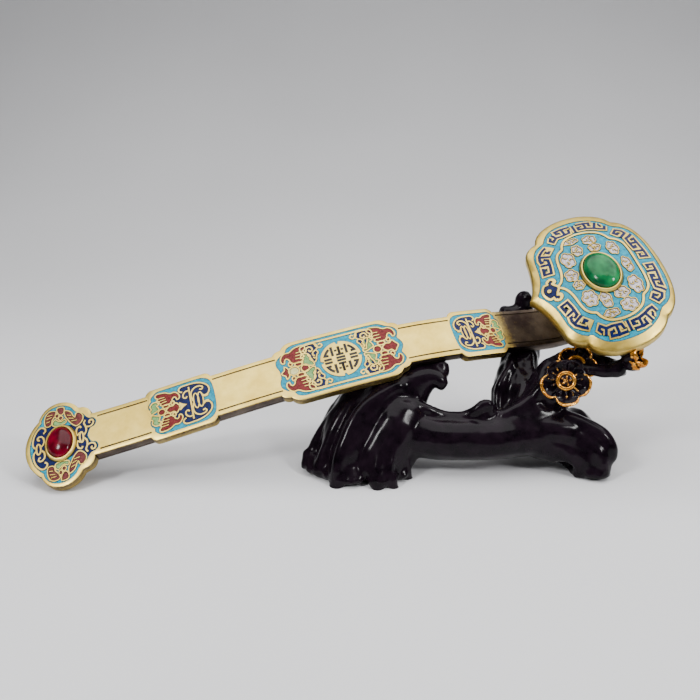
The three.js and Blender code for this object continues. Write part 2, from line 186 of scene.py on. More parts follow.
def share_out(points):
    """How far out points of the head lie, from 0 at its middle to 1 on its outline."""
    edge = np.array(head_edge()) - (HEAD_CENTRE, 0)
    turn = np.arctan2(edge[:, 1], edge[:, 0])
    order = np.argsort(turn)
    from_middle = points[:, :2] - (HEAD_CENTRE, 0)
    reach = np.interp(np.arctan2(from_middle[:, 1], from_middle[:, 0]), turn[order],
                      np.linalg.norm(edge, axis=1)[order], period=2 * math.pi)
    return np.linalg.norm(from_middle, axis=1) / reach


def over_head(flat):
    """Sets points (along from the cusp, across, up from the rim) over the head, without doming them."""
    along, across, up = flat.T
    x, z = along - HEAD_OVERHANG, up + HEAD_DEPTH - NECK_BITE
    c, s = math.cos(HEAD_PITCH), math.sin(HEAD_PITCH)
    end = LINE_POINTS[-1]
    return np.stack([end[0] + x * c - z * s, across, end[1] + x * s + z * c], axis=1)


def on_head(flat):
    """Domes points of the flat drawing onto the head. Its underside stays flat."""
    dome = HEAD_DOME * (1 - np.clip(share_out(flat), 0, 1) ** HEAD_DOME_FALL)
    lift = dome * np.clip(1 + flat[:, 2] / HEAD_DEPTH, 0, 1)
    return over_head(flat + np.outer(lift, (0, 0, 1)))


def in_tail(flat):
    """Sets points about the red stone's seat."""
    return on_shaft(flat + (RED_STONE_AT, 0, 0))


def on_crown(flat):
    """Sets points about the green stone's seat."""
    return over_head(flat + (GREEN_STONE_AT, 0, HEAD_DOME))


def bend_mesh(mesh, place):
    """Bends a flat mesh in millimetres onto the sceptre and sets it in the row frame in metres."""
    flat = np.empty(len(mesh.vertices) * 3)
    mesh.vertices.foreach_get("co", flat)
    bent = place(flat.reshape(-1, 3))
    turned = bent @ np.array(TO_ROW.to_3x3()).T + np.array(TO_ROW.translation)
    mesh.vertices.foreach_set("co", (turned * MM).ravel())
    mesh.update()


# Helpers for meshes


def mesh_of(bm, name):
    mesh = bpy.data.meshes.new(name)
    bm.to_mesh(mesh)
    bm.free()
    return mesh


def piece(name, mesh, *materials):
    """An object of the sceptre or the stand, at the origin, that moves with the one body there is."""
    thing = bpy.data.objects.new(name, mesh)
    bpy.context.scene.collection.objects.link(thing)
    for material in materials:
        mesh.materials.append(material)
    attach(thing, "root")
    return thing


def modified(mesh, *modifiers):
    """A mesh as it comes out of modifiers, each a type and its settings."""
    worker = bpy.data.objects.new("worker", mesh)
    bpy.context.scene.collection.objects.link(worker)
    for kind, settings in modifiers:
        modifier = worker.modifiers.new(kind, kind)
        for key, value in settings.items():
            setattr(modifier, key, value)
    graph = bpy.context.evaluated_depsgraph_get()
    made = bpy.data.meshes.new_from_object(worker.evaluated_get(graph))
    bpy.data.objects.remove(worker)
    return made


def joined(name, meshes):
    bm = bmesh.new()
    for mesh in meshes:
        bm.from_mesh(mesh)
    return mesh_of(bm, name)


def less(mesh, hollow, **settings):
    """A mesh with another one taken out of it."""
    cutter = bpy.data.objects.new("cutter", hollow)
    bpy.context.scene.collection.objects.link(cutter)
    made = modified(mesh, ("BOOLEAN", {"object": cutter, "operation": "DIFFERENCE", **settings}))
    bpy.data.objects.remove(cutter)
    return made


def soften(mesh, degrees=35):
    """Smooth shading, with the edges sharper than this left crisp."""
    mesh.shade_smooth()
    mesh.set_sharp_from_angle(angle=math.radians(degrees))


def verts_of(geom):
    return [part for part in geom if isinstance(part, bmesh.types.BMVert)]


def grid_cut(bm, step, across=False):
    """Cuts a flat mesh at even steps, so that it can bend."""
    for axis in (0, 1) if across else (0,):
        spread = [v.co[axis] for v in bm.verts]
        way = Vector((axis == 0, axis == 1, 0))
        for at in np.arange(math.floor(min(spread) / step) * step + step, max(spread), step):
            bmesh.ops.bisect_plane(bm, geom=bm.verts[:] + bm.edges[:] + bm.faces[:], dist=1e-4,
                                   plane_co=way * at, plane_no=way)


# Lines of the drawing


def arc(centre, radius, start, end, steps=10):
    """Points on an arc, its ends in degrees."""
    for turn in np.linspace(math.radians(start), math.radians(end), steps + 1):
        yield Vector((centre[0] + radius * math.cos(turn), centre[1] + radius * math.sin(turn)))


def soft(points, closed=False, step=0.8):
    """A soft line through given points, with a point about every step."""
    points = [Vector(p) for p in points]
    if closed:
        points = [points[-1], *points, points[0], points[1]]
    else:
        points = [2 * points[0] - points[1], *points, 2 * points[-1] - points[-2]]
    line = []
    for a, b, c, d in zip(points, points[1:], points[2:], points[3:]):
        count = max(2, round((c - b).length / step))
        for t in np.arange(count) / count:
            line.append(b + (c - a) * t / 2 + (a - 2.5 * b + 2 * c - d / 2) * t**2
                        + (1.5 * (b - c) + (d - a) / 2) * t**3)
    return line if closed else line + [points[-2]]


def straight(points, step=2.5):
    """Points joined by straight runs, cut short enough to bend."""
    points = [Vector(p) for p in points]
    line = []
    for a, b in zip(points, points[1:]):
        count = max(1, math.ceil((b - a).length / step))
        line += [a.lerp(b, t) for t in np.arange(count) / count]
    return line + points[-1:]


def oval(centre, along, across, steps=20):
    turns = np.arange(steps) * 2 * math.pi / steps
    return [Vector((centre[0] + along * math.cos(t), centre[1] + across * math.sin(t))) for t in turns]


def flipped(points):
    return [Vector((p[0], -p[1])) for p in points]


def both_halves(half):
    """A closed outline from its upper half, drawn from axis to axis."""
    return [Vector(p) for p in half] + flipped(half[1:-1])[::-1]


def whole(half):
    """The same, as a soft line."""
    return soft(both_halves(half), closed=True)


def mirrored(lines):
    """Each line, and the same line across the sceptre's axis."""
    for line in lines:
        yield line
        yield flipped(line)


class Drawing:
    """What is drawn flat on one bent surface: enamel cells, brass lines and frets."""

    def __init__(self, place, cut):
        self.place = place
        self.cut = cut
        self.cells = {}
        self.lines = {}

    def enamel(self, colour, outline, level=ENAMEL):
        self.cells.setdefault(colour, []).append((outline, level))

    def stroke(self, colour, line, width, top, closed=False, side=0):
        """A raised line along the drawn one, or to one side of it: 1 is outside a closed line."""
        self.lines.setdefault((colour, width, top, side), []).append((line, closed))

    def brass(self, line, closed=False, width=LINE, side=0):
        self.stroke("brass", line, width, LINE_TOP, closed, side)

    def cell(self, colour, outline, width=LINE):
        """A patch of enamel with a brass line round it."""
        self.enamel(colour, outline, CELL)
        self.brass(outline, closed=True, width=width, side=1)

    def fret(self, colour, line):
        """A stroke of enamel with a brass margin on both sides."""
        self.stroke("brass", line, FRET_WIDTH + 2 * FRET_MARGIN, FRET_BASE)
        self.stroke(colour, line, FRET_WIDTH, FRET_TOP)

    def cell_mesh(self, colour):
        """The patches of one colour, filled and bent."""
        bm = bmesh.new()
        for outline, level in self.cells.get(colour, []):
            verts = [bm.verts.new((*p, level)) for p in outline]
            edges = [bm.edges.new(pair) for pair in zip(verts, verts[1:] + verts[:1])]
            bmesh.ops.triangle_fill(bm, edges=edges, use_beauty=True, use_dissolve=False, normal=(0, 0, 1))
        if bm.faces:
            grid_cut(bm, self.cut, across=self.place is on_head)
        bmesh.ops.recalc_face_normals(bm, faces=bm.faces)
        for face in bm.faces:
            if face.normal.z < 0:
                face.normal_flip()
        mesh = mesh_of(bm, colour)
        bend_mesh(mesh, self.place)
        return mesh

    def line_meshes(self, colour):
        """The raised lines of one colour: walls along them, thickened and bent."""
        for (kind, width, top, side), lines in self.lines.items():
            if kind != colour:
                continue
            bm = bmesh.new()
            for line, closed in lines:
                verts = [bm.verts.new((*p, -BED)) for p in line]
                pairs = list(zip(verts, verts[1:])) + ([(verts[-1], verts[0])] if closed else [])
                edges = [bm.edges.new(pair) for pair in pairs]
                wall = bmesh.ops.extrude_edge_only(bm, edges=edges)["geom"]
                bmesh.ops.translate(bm, vec=(0, 0, BED + top), verts=verts_of(wall))
            bmesh.ops.recalc_face_normals(bm, faces=bm.faces)
            mesh = modified(mesh_of(bm, colour), (
                "SOLIDIFY", {"thickness": width, "offset": side, "use_even_offset": True,
                             "thickness_clamp": 0, "use_quality_normals": True}))
            bend_mesh(mesh, self.place)
            yield mesh


shaft_work = Drawing(on_shaft, SHAFT_CUT)
head_work = Drawing(on_head, HEAD_CUT)


# Outlines of the brass


def shoulders(start, end, low, high, length, pull):
    """The bend up from one half width to another at a plaque's start, and the bend down at its end."""
    up = bezier([(start, low), (start + pull, high), (start + length, high)], BEND_STEPS)
    down = bezier([(end - length, high), (end - pull, high), (end, low)], BEND_STEPS)
    return list(up), list(down)


def small_edge(plaque):
    start, end = plaque
    up, down = shoulders(start, end, BAR_HALF, SMALL_HALF, SHOULDER, PULL)
    return [Vector((start, BAR_HALF)), *up, Vector((end - SHOULDER, SMALL_HALF)), *down]


def middle_edge(plaque):
    start, end = plaque
    inner, outer = start + MIDDLE_STEP, end - MIDDLE_STEP
    up, down = shoulders(start, end, BAR_HALF, MIDDLE_STEP_HALF, MIDDLE_STEP, PULL)
    on, off = shoulders(inner, outer, MIDDLE_STEP_HALF, MIDDLE_HALF, WIDE_SHOULDER, WIDE_PULL)
    return [Vector((start, BAR_HALF)), *up, *on, Vector((outer - WIDE_SHOULDER, MIDDLE_HALF)), *off, *down]


def shaft_edge():
    """The long edge of the face, from the tail's tip to the neck's end."""
    tip_turn = math.degrees(math.asin(TIP_NOTCH_HALF / TIP_RADIUS))
    edge = list(arc((TIP_RADIUS, 0), TIP_RADIUS, 180, 180 - tip_turn, 14))
    notch = edge[-1] - Vector(LOBE_AT)
    edge += list(arc(LOBE_AT, LOBE_RADIUS, math.degrees(math.atan2(notch.y, notch.x)), 29, 22))[1:]
    edge += arc((TAIL_LENGTH - EAR_RADIUS, BAR_HALF), EAR_RADIUS, 88, 0, 10)
    edge += small_edge(LOWER_PLAQUE) + middle_edge(MIDDLE_PLAQUE) + small_edge(UPPER_PLAQUE)
    return edge + [Vector((FACE_LENGTH, BAR_HALF))]


def slab(outline, top, bottom, rim=0.0):
    """A flat plate from its outline, with its two rims rounded."""
    bm = bmesh.new()
    face = bm.faces.new([bm.verts.new((*p, top)) for p in outline])
    side = bmesh.ops.extrude_face_region(bm, geom=[face])["geom"]
    bmesh.ops.translate(bm, vec=(0, 0, bottom - top), verts=verts_of(side))
    bmesh.ops.recalc_face_normals(bm, faces=bm.faces)
    if rim:
        rims = [e for e in bm.edges if e.verts[0].co.z == e.verts[1].co.z]
        bmesh.ops.bevel(bm, geom=rims, offset=rim, affect="EDGES", segments=2, profile=0.5, material=-1)
    return mesh_of(bm, "slab")


def cut_beds(mesh, beds):
    """Sinks the enamel's beds and the bar's two scored lines into a flat plate."""
    return less(mesh, joined("cutter", [slab(bed, 1, -BED) for bed in beds]))


def age_and_shade(mesh, shade_from=math.inf, side=1.0):
    """Marks how dark the brass is: bright on the rubbed face, tarnished dark in the beds and down the sides,
    and painted shade growing along the neck.
    """
    flat = np.empty(len(mesh.vertices) * 3)
    mesh.vertices.foreach_get("co", flat)
    along, across, up = flat.reshape(-1, 3).T
    side = np.where(np.abs(across) > BAR_HALF + 1, PLAQUE_SIDE, side)
    in_beds = np.clip(-up / BED, 0, 1) * BED_PATINA
    down = np.where(up > -RIM_ROUND - 0.01, in_beds, side * np.clip(-up / SIDE_FADE + SIDE_START, 0, 1))
    # Painted shade: the neck darkens from its start onwards, where it curls up under the head.
    shade = np.clip((along - shade_from) / NECK_SHADE_FADE, 0, 1) * NECK_PAINTED_SHADE
    mesh.attributes.new("patina_and_shade", "FLOAT", "POINT").data.foreach_set("value", np.maximum(down, shade))


def face_plate():
    """The shaft's face with the tail and the plaques, its beds sunk, bent to the arch."""
    beds = [whole(half) for half in (TAIL_BED, LOWER_BED, MIDDLE_BED, UPPER_BED)]
    for start, end in SCORES:
        for side in (1, -1):
            near, far = side * (SCORE_AT - SCORE_WIDTH / 2), side * (SCORE_AT + SCORE_WIDTH / 2)
            beds.append([Vector(p) for p in ((start, near), (end, near), (end, far), (start, far))])
    edge = shaft_edge()
    plate = cut_beds(slab(edge + flipped(edge[1:])[::-1], 0, -PLATE_DEPTH, RIM_ROUND), beds)
    bm = bmesh.new()
    bm.from_mesh(plate)
    grid_cut(bm, SHAFT_CUT)
    plate = mesh_of(bm, "face_plate")
    age_and_shade(plate, shade_from=NECK_SHADE_FROM)
    bend_mesh(plate, on_shaft)
    return plate


def spine():
    """The deeper bar under the plate, which thins towards the neck."""
    half = BAR_HALF - SPINE_INSET
    start = TAIL_LENGTH / 2
    outline = [Vector(p) for p in ((start, -half), (FACE_LENGTH, -half), (FACE_LENGTH, half), (start, half))]
    bm = bmesh.new()
    bm.from_mesh(slab(outline, -PLATE_DEPTH + 1, -SPINE_DEPTH, RIM_ROUND * 2))
    grid_cut(bm, SHAFT_CUT)
    for v in bm.verts:
        t = min(max((v.co.x - MIDDLE_PLAQUE[0]) / (UPPER_PLAQUE[0] - MIDDLE_PLAQUE[0]), 0), 1)
        v.co.z += (SPINE_DEPTH - NECK_DEPTH) * t * t * (3 - 2 * t) if v.co.z < -PLATE_DEPTH else 0
    mesh = mesh_of(bm, "spine")
    age_and_shade(mesh)
    bend_mesh(mesh, on_shaft)
    return mesh


def head_plate():
    """The domed head with its bed."""
    bed = whole(HEAD_BED)
    plate = cut_beds(slab(head_edge(), 0, -HEAD_DEPTH, HEAD_RIM_ROUND), [bed])
    bm = bmesh.new()
    bm.from_mesh(plate)
    grid_cut(bm, HEAD_CUT, across=True)
    plate = mesh_of(bm, "head_plate")
    age_and_shade(plate, side=HEAD_SIDE)
    bend_mesh(plate, on_head)
    return plate


def turned(profile, stone, place):
    """Turns a ring or a stone, as a circle that is then drawn in to the stone's oval.

    The profile gives the distance out from the stone's edge, or None for its axis, and the height.
    """
    bm = bmesh.new()
    verts = [bm.verts.new((0 if out is None else TURNED_AT + out, 0, up)) for out, up in profile]
    edges = [bm.edges.new(pair) for pair in zip(verts, verts[1:])]
    bmesh.ops.spin(bm, geom=verts + edges, axis=(0, 0, 1), cent=(0, 0, 0), angle=2 * math.pi,
                   steps=72, use_merge=True)
    bmesh.ops.remove_doubles(bm, verts=bm.verts, dist=1e-4)
    for v in bm.verts:
        reach = v.co.xy.length
        if reach > 1e-6:
            way = v.co.xy / reach
            if profile[0][0] is None:
                share = reach / TURNED_AT
                v.co.xy = (way.x * stone[0] * share, way.y * stone[1] * share)
            else:
                v.co.xy = (way.x * (stone[0] + reach - TURNED_AT), way.y * (stone[1] + reach - TURNED_AT))
    bmesh.ops.recalc_face_normals(bm, faces=bm.faces)
    mesh = mesh_of(bm, "turned")
    bend_mesh(mesh, place)
    return mesh


def collar(stone, height, place):
    """The bezel: a rolled ring that closes in over the stone's edge."""
    out = GAP + COLLAR_WALL
    profile = [(GAP, -SEAT_SINK), (GAP, height - 0.5), (GAP - 0.15, height), (GAP + 0.25, height + 0.35),
               (GAP + 0.8, height + 0.3), (out - 0.35, height - 0.35), (out, height - 1.1),
               (out, -SEAT_SINK - 0.4), (GAP, -SEAT_SINK)]
    mesh = turned(profile, stone, place)
    mesh.attributes.new("patina_and_shade", "FLOAT", "POINT")
    return mesh


def cabochon(stone, girdle, dome, place):
    """An oval stone with a straight girdle and a round dome."""
    low = GAP - SEAT_SINK
    profile = [(None, low), (-0.6, low), (0, low + 0.4), (0, girdle + low)]
    rise = dome - girdle
    for turn in range(8, 90, 8):
        a = math.radians(turn)
        profile.append(((math.cos(a) - 1) * TURNED_AT, girdle + low + rise * math.sin(a)))
    return turned([*profile, (None, dome + low)], stone, place)


# The enameller's drawing, in millimetres along the face and across. Halves are mirrored across its axis

SCORE_AT, SCORE_WIDTH = 11, 1.05
SCORES = [
    (TAIL_LENGTH + 3.4, LOWER_PLAQUE[0] + 1), (LOWER_PLAQUE[1] + 0.6, MIDDLE_PLAQUE[0] + 1.4),
    (MIDDLE_PLAQUE[1] - 0.8, UPPER_PLAQUE[0] - 0.4), (UPPER_PLAQUE[1] + 1, FACE_LENGTH - 8),
]

TAIL_BED = [
    (2.8, 0), (3.4, 5), (5.2, 10.4), (8.6, 15.2), (10.2, 16.8), (10.6, 19), (13, 22.6), (16.5, 24.8),
    (20.8, 25.6), (25, 24.8), (28.6, 22.4), (30.6, 19.4), (32.4, 17.6), (35.4, 15.9), (37.2, 13.2),
    (38.8, 11.6), (41.2, 11.1), (42.9, 9.2), (42.9, 7.1), (41.5, 5.2), (39.5, 4.6), (38.6, 3.4),
    (37.8, 1.6), (37.4, 0),
]
LOWER_BED = [
    (75.8, 0), (75.3, 2.6), (74.4, 5), (75, 7.6), (76.6, 9.4), (76.4, 11), (78.4, 13.2), (81.4, 14.7),
    (90, 14.8), (105, 14.8), (110, 13.9), (112.9, 11.7), (114.2, 8.6), (114.7, 4), (114.8, 0),
]
MIDDLE_BED = [
    (154.6, 0), (154.4, 2.6), (153.2, 6), (153.6, 9.2), (156.2, 12), (159.8, 13.8), (161.4, 16.4),
    (164.6, 17.9), (170, 18.2), (191, 18.2), (212, 18.2), (218, 17.8), (221.4, 16), (223.2, 14.9),
    (226.6, 13.2), (228.6, 10.4), (228.2, 7.6), (227.2, 5.2), (228.6, 2.8), (229.4, 0),
]
HEAD_BED = [
    (5, 0), (7.2, 3.6), (9.6, 8.4), (11.2, 13.6), (12, 19), (12.7, 25), (14.2, 29.4), (17, 33), (20.4, 35),
    (22.6, 35.7), (24.6, 38.6), (28.2, 42.2), (33, 44.2), (40, 44.9), (48, 44.3), (55.6, 41.8), (61.6, 37.6),
    (64.6, 34), (66.6, 32.2), (70.4, 30.2), (74, 26.4), (76.4, 20.8), (78, 14), (78.5, 6), (78.6, 0),
]


UPPER_START, LOWER_START = 294.4, 74.5
UPPER_LENGTH, UPPER_WIDTH = 0.8125, 0.97


def as_upper(p):
    """The upper plaque repeats the lower one, turned end for end and a little shorter."""
    return Vector((UPPER_START - UPPER_LENGTH * (p[0] - LOWER_START), p[1] * UPPER_WIDTH))


UPPER_BED = [as_upper(p) for p in LOWER_BED]


def bat(place, body=None, leaf_shift=0.0):
    """A bat with spread wings, its head towards -x, with a leafy scroll before it."""
    def drawn(points):
        return [place(p) for p in points]

    work = shaft_work
    work.cell("red", drawn(oval((-6.8, 0), 2.1, 2.2)))
    torso = [(-3.4, 0), (-1.2, 2.3), (1.3, 2.1), (3, 3.7), (4.3, 2), (5.7, 0)]
    if body:
        work.cell(body, drawn(oval((0, 0), 2.9, 2.6)))
        torso = [(3.2, 0), (3.6, 2.6), (4.8, 3.8), (5.2, 1.8), (7.2, 0)]
    work.cell("red", drawn(whole(torso)))
    for side in (Vector((1, 1)), Vector((1, -1))):
        def both(points):
            return drawn([Vector(p) * side for p in points])

        work.cell("red", both(oval((-3.5, 3.7), 1.9, 1.1, 12)))
        work.cell("red", both(oval((1.1, 5.1), 0.8, 1.1, 10)))
        work.cell("red", both(soft(WING, closed=True)))
        for finger in FINGERS:
            work.brass(both(soft(finger, step=1.2)), width=0.45)
        work.cell("green", both(soft([(x * LEAF_STRETCH + leaf_shift, y) for x, y in LEAF], closed=True)))


WING = [
    (-9.3, 13.6), (-9, 15.4), (-6.8, 15.7), (-3, 15), (-0.9, 13.6), (0.8, 12.9), (2.9, 13.1), (4.8, 11.8),
    (5.9, 9.4), (5.6, 7.4), (4.6, 7), (4.2, 8.6), (3, 9.8), (1.6, 9.2), (0.7, 7.8), (0.4, 6), (-1.8, 5.3),
    (-5, 5.3), (-6.6, 6.2), (-5.8, 7.4), (-7.6, 8.2), (-6.8, 9.6), (-8.6, 10.6), (-7.6, 11.8),
]
FINGERS = [[(-5.8, 7.6), (-2.6, 7.8)], [(-6.8, 9.8), (-3, 9.8)], [(-7.6, 12), (-3.6, 11.8)]]
LEAF_STRETCH = 1.06
LEAF = [
    (-8.4, 3), (-10.2, 2), (-12.6, 0.9), (-14, 1), (-13.6, 3), (-12.3, 4.8), (-12.9, 7.2), (-11.2, 9.4),
    (-9, 9.2), (-8.2, 7.4), (-9.6, 6.8), (-8.8, 5),
]


def tail_work():
    """The tail plate's drawing: strap scrolls on cobalt beside the stone, and a brown bat at each side."""
    shaft_work.enamel("turquoise", whole(TAIL_BED))
    left = [(4.8, 0), (4.8, 5), (5.8, 9.2), (8, 12.9), (10.6, 14.2), (13.2, 12.8), (17.5, 12.2), (17.5, 0)]
    right = [(25, 0), (25, 9.5), (29, 10), (31, 8), (33.5, 9.3), (35.4, 11.5), (36.4, 13.6), (37.6, 12.2),
             (39.2, 11.1), (41.2, 10.6), (42.4, 9), (42.4, 7.2), (41.2, 5.6), (39.3, 5.1), (38.2, 3.8),
             (37.3, 1.8), (36.9, 0)]
    for patch in (left, right):
        shaft_work.enamel("cobalt", whole(patch), level=GROUND)
    scrolls = [
        [(6.6, 0.8), (5.1, 2.4), (4.8, 5), (5.7, 9), (8, 12.6), (10.4, 13.8), (12.3, 12.6), (12.5, 10.6),
         (11.2, 9.6)],
        [(9.2, 1), (11, 2.6), (11.5, 5), (10.8, 7.2), (9.2, 8.2), (7.8, 7.4), (8, 6), (9, 5.8)],
        [(32.9, 3.2), (31, 2), (30.7, 4.4), (31.4, 6.6), (33, 7.4), (33.8, 6.2)],
        [(35.2, 1), (36.6, 3.2), (36.5, 6.2), (35.6, 8.8), (36.6, 10.6)],
        [(36.5, 6.2), (38.4, 5.6), (40.4, 6.2), (41.3, 8), (40.7, 9.6), (39.3, 9.7), (38.7, 8.6),
         (39.4, 7.9)],
    ]
    for line in mirrored(scrolls):
        shaft_work.brass(soft(line), width=0.95)
    for middle, reach in (((8, 0), (1.3, 3.4)), ((33.6, 0), (1.1, 3.4))):
        shaft_work.brass(oval(middle, *reach), closed=True, width=0.95)
    for colour, cell in TAIL_BAT:
        for outline in mirrored([cell]):
            shaft_work.cell(colour, soft(outline, closed=True), width=0.6)
    for finger in mirrored(TAIL_FINGERS):
        shaft_work.brass(soft(finger), width=0.4)


TAIL_BAT = [
    ("brown", [(13.2, 13.8), (12.7, 17.8), (14, 21.6), (16.6, 22.9), (19.3, 21.9), (18.4, 19.2),
               (16.8, 17), (16, 14)]),
    ("brown", [(20.6, 23.9), (24, 23.6), (24.2, 20.8), (22.7, 19), (20.9, 20.7)]),
    ("brown", [(19.1, 18.9), (20.1, 20.2), (21, 19), (20.1, 17.6)]),
    ("brown", [(21, 16.8), (22, 18.1), (23.2, 16.9), (22.1, 15.5)]),
    ("brown", [(25.2, 20.8), (28.2, 18.8), (29.2, 16.2), (30.7, 14.4), (31.6, 16.8), (33.2, 17),
               (34.9, 14.9), (35, 12.2), (33.3, 9.8), (31, 8.9), (28.5, 11.2), (26.4, 14.8), (25, 18)]),
    ("green", [(17.6, 13), (17.4, 15), (18.8, 16.4), (20.4, 14.9), (22.4, 14), (24.4, 15), (25, 13.2),
               (22.8, 12.4), (20, 12.2)]),
]
TAIL_FINGERS = [
    [(13.6, 18.4), (16.8, 19)], [(14.2, 20.6), (17.4, 20.6)], [(13.4, 16.2), (15.6, 16.6)], [(26, 17.6),
                                                                                             (28.6, 16.6)],
    [(26.8, 15.2), (29.8, 14.2)], [(28.2, 12.8), (31.6, 12.4)],
]


def small_plaque(place, bed):
    """The lower plaque's drawing: a bat with leaves at one end, strap scrolls on cobalt at the other."""
    def drawn(points):
        return [place(p) for p in points]

    shaft_work.enamel("turquoise", whole(bed))
    ground = [(91.6, 0), (91.2, 3.4), (89.4, 5.8), (92.8, 8.6), (93.1, 11), (95.4, 12.8), (99, 13),
              (104, 12.7), (108.4, 11.2), (111.4, 8.4), (112.2, 5.4), (111.2, 3), (108.4, 1.6), (107.6, 0)]
    shaft_work.enamel("cobalt", drawn(whole(ground)), level=GROUND)
    scrolls = [
        [(95.8, 8.9), (94.4, 9.6), (93.9, 11), (95.4, 12.6), (99, 12.8), (104, 12.5), (108.3, 11),
         (111.2, 8.4), (112, 5.5), (111, 3), (108.8, 2.2), (107.3, 3.2)],
        [(101.4, 0.8), (100.7, 4.6), (101.6, 7.6), (104, 9.4), (106.8, 9.4), (108.4, 8.2), (107.6, 6.8),
         (106.3, 7.3)],
        [(100, 8.6), (97.8, 8.6), (96.1, 6.8), (96.2, 4.8), (97.6, 4.2), (98.3, 5.2)],
        [(107.2, 2), (109.4, 1.6), (110.8, 1.9)],
    ]
    for line in mirrored(scrolls):
        shaft_work.brass(drawn(soft(line)), width=0.85)
    shaft_work.brass(drawn(straight([(100.1, 11), (100.1, -11)])), width=0.85)
    for along in (103.3, 106):
        shaft_work.cell("cobalt", drawn(oval((along, 0.4), 1.2, 4.6)), width=0.7)
    arrow = [(92.6, 0), (93.2, 2.8), (95.4, 1), (97.6, 0)]
    shaft_work.enamel("brass", drawn(both_halves(arrow)), level=LINE_TOP)
    bat(lambda p: place((88.2 + p[0] * 0.9, p[1] * 0.8)))


def middle_work():
    """The middle plaque's drawing: a bat at each end, scrolls with cobalt in them, and the medallion."""
    shaft_work.enamel("turquoise", whole(MIDDLE_BED))
    bat(lambda p: Vector((162.8 - p[0], p[1])), body="straw", leaf_shift=2.6)
    bat(lambda p: Vector((220.5 + p[0], p[1])))
    patch = [(169.8, 14.2), (173, 15), (178, 14.9), (179.6, 12.4), (178.2, 10.4), (179, 8.4), (177.6, 6.4),
             (176.9, 3.6), (175.6, 2.6), (174.9, 5.2), (173.6, 7.6), (173, 9.6), (170, 10.8)]
    curls = [
        [(172.4, 10.8), (173.4, 13.2), (175.8, 13.2), (176.5, 11.2), (175, 10.2), (174.2, 11.4)],
        [(178.4, 15.2), (179.2, 12.6), (181.2, 11.3), (182.8, 12.6), (181.8, 14.1), (180.7, 13.3)],
        [(178.2, 10.2), (176.4, 9.2), (176, 7.4), (177, 6.6)],
        [(176.9, 4.8), (175.8, 5.8)],
    ]
    rail = [(170.6, 15.2), (174.5, 16), (183, 15.9), (MEDALLION_AT, 15.9)]
    for end in (1, -1):
        for side in (1, -1):
            def quarter(points, end=end, side=side):
                return [Vector((MEDALLION_AT + end * (p[0] - MEDALLION_AT), side * p[1])) for p in points]

            shaft_work.cell("cobalt", quarter(soft(patch, closed=True)))
            shaft_work.brass(quarter(soft(rail)), width=1.1)
            for curl in curls:
                shaft_work.brass(quarter(soft(curl)), width=0.85)
    medallion()


MEDALLION_AT, MEDALLION_RADIUS = 191.4, 12.2
NOTCH_DEPTH, NOTCH_HALF = 1.7, math.radians(4)


def medallion():
    """A round brass fret, the same each way, with black strokes let into it."""
    rim = []
    for turn in np.radians(np.arange(0, 360, 2.5)):
        notched = abs((turn + math.pi / 4) % (math.pi / 2) - math.pi / 4) < NOTCH_HALF
        reach = MEDALLION_RADIUS - (NOTCH_DEPTH if notched else 0)
        rim.append(Vector((MEDALLION_AT + reach * math.cos(turn), reach * math.sin(turn))))
    shaft_work.enamel("brass", rim, level=LINE_TOP)
    strokes = [
        [(4.3, 9.4), (4.3, 2.9)], [(0, 8.8), (0, 3.2), (2.3, 3.2)], [(2, 7), (2, 5.6)], [(0, 1), (2.7, 1)],
        [(5.4, 1.1), (10, 1.1)],
        [(6.7, 3.7), *((9.8 * math.cos(t), 9.8 * math.sin(t)) for t in np.radians(np.arange(24, 57, 6)))],
    ]
    for end in (1, -1):
        for side in (1, -1):
            for stroke in strokes:
                line = straight([(MEDALLION_AT + end * x, side * y) for x, y in stroke])
                shaft_work.stroke("black", line, STROKE_WIDTH, STROKE_TOP)


HEAD_FRETS = [
    [(20.9, 27.4), (22.2, 26), (24.4, 28.2), (21.8, 31), (19.4, 29.4), (16.6, 26.8), (15.6, 23.5),
     (15.8, 21.3), (17.2, 21.2)],
    [(16.8, 25.4), (21.6, 22.8)],
    [(17.6, 22.6), (19.7, 21.2), (19.1, 16), (18, 11.4), (14.1, 12.3), (14.9, 16.2), (16.1, 15.2)],
    [(14.6, 19.3), (18.9, 17.9)],
    [(28.2, 37), (26.9, 34.7), (28.3, 32.8), (30.9, 35.3), (29.3, 39)],
    [(30.9, 35.3), (34.5, 35.1), (39.6, 35.7), (40.2, 38.6)],
    [(36.7, 35.3), (36.5, 41.1), (41.2, 40.9)],
    [(34.2, 38.2), (32.6, 38.4), (32.2, 40.6), (36.5, 41.1)],
    [(43.4, 34.8), (43.6, 41)],
    [(47.4, 37.8), (45.9, 37.9), (45.9, 36), (50.3, 35.4), (50.5, 40.4), (46.2, 40.6)],
    [(50.5, 40.4), (53.6, 39.6), (52.8, 37)],
    [(50.3, 35.4), (54.8, 33.6), (57.3, 38.6)],
    [(54.8, 33.6), (57.5, 32), (60.3, 31), (61.6, 33.8)],
    [(58.4, 36.4), (59.2, 34.2)],
    [(66.4, 24.9), (64.8, 23.8), (63.4, 25.5), (65.8, 28), (68.9, 26.2), (70, 24), (66, 20.8)],
    [(73.4, 22.4), (71.2, 20.6), (68.4, 19.2), (68.8, 14), (69.3, 10.9), (71, 11.2), (70.8, 12.6)],
    [(71.2, 17.6), (73, 18.3), (73.3, 14.9), (69, 14.6)],
    [(73.3, 14.9), (73.9, 11), (74.3, 8), (74.4, 3.3), (70.3, 3.5), (70.5, 5.7)],
    [(68.8, 8), (74.2, 7.9)],
]
HEAD_LINE = [
    (17.5, 0), (20, 2.4), (21.9, 5.6), (23.1, 10), (23.7, 15), (24.8, 19.8), (27, 22.8), (30, 24.6),
    (31.2, 27.4), (34, 30.6), (38.4, 32.3), (44, 32.6), (50, 31.4), (55.2, 28.6), (58, 25), (59.4, 22.2),
    (62.6, 20), (65, 16.4), (65.9, 11), (66.1, 5), (66.1, 0),
]

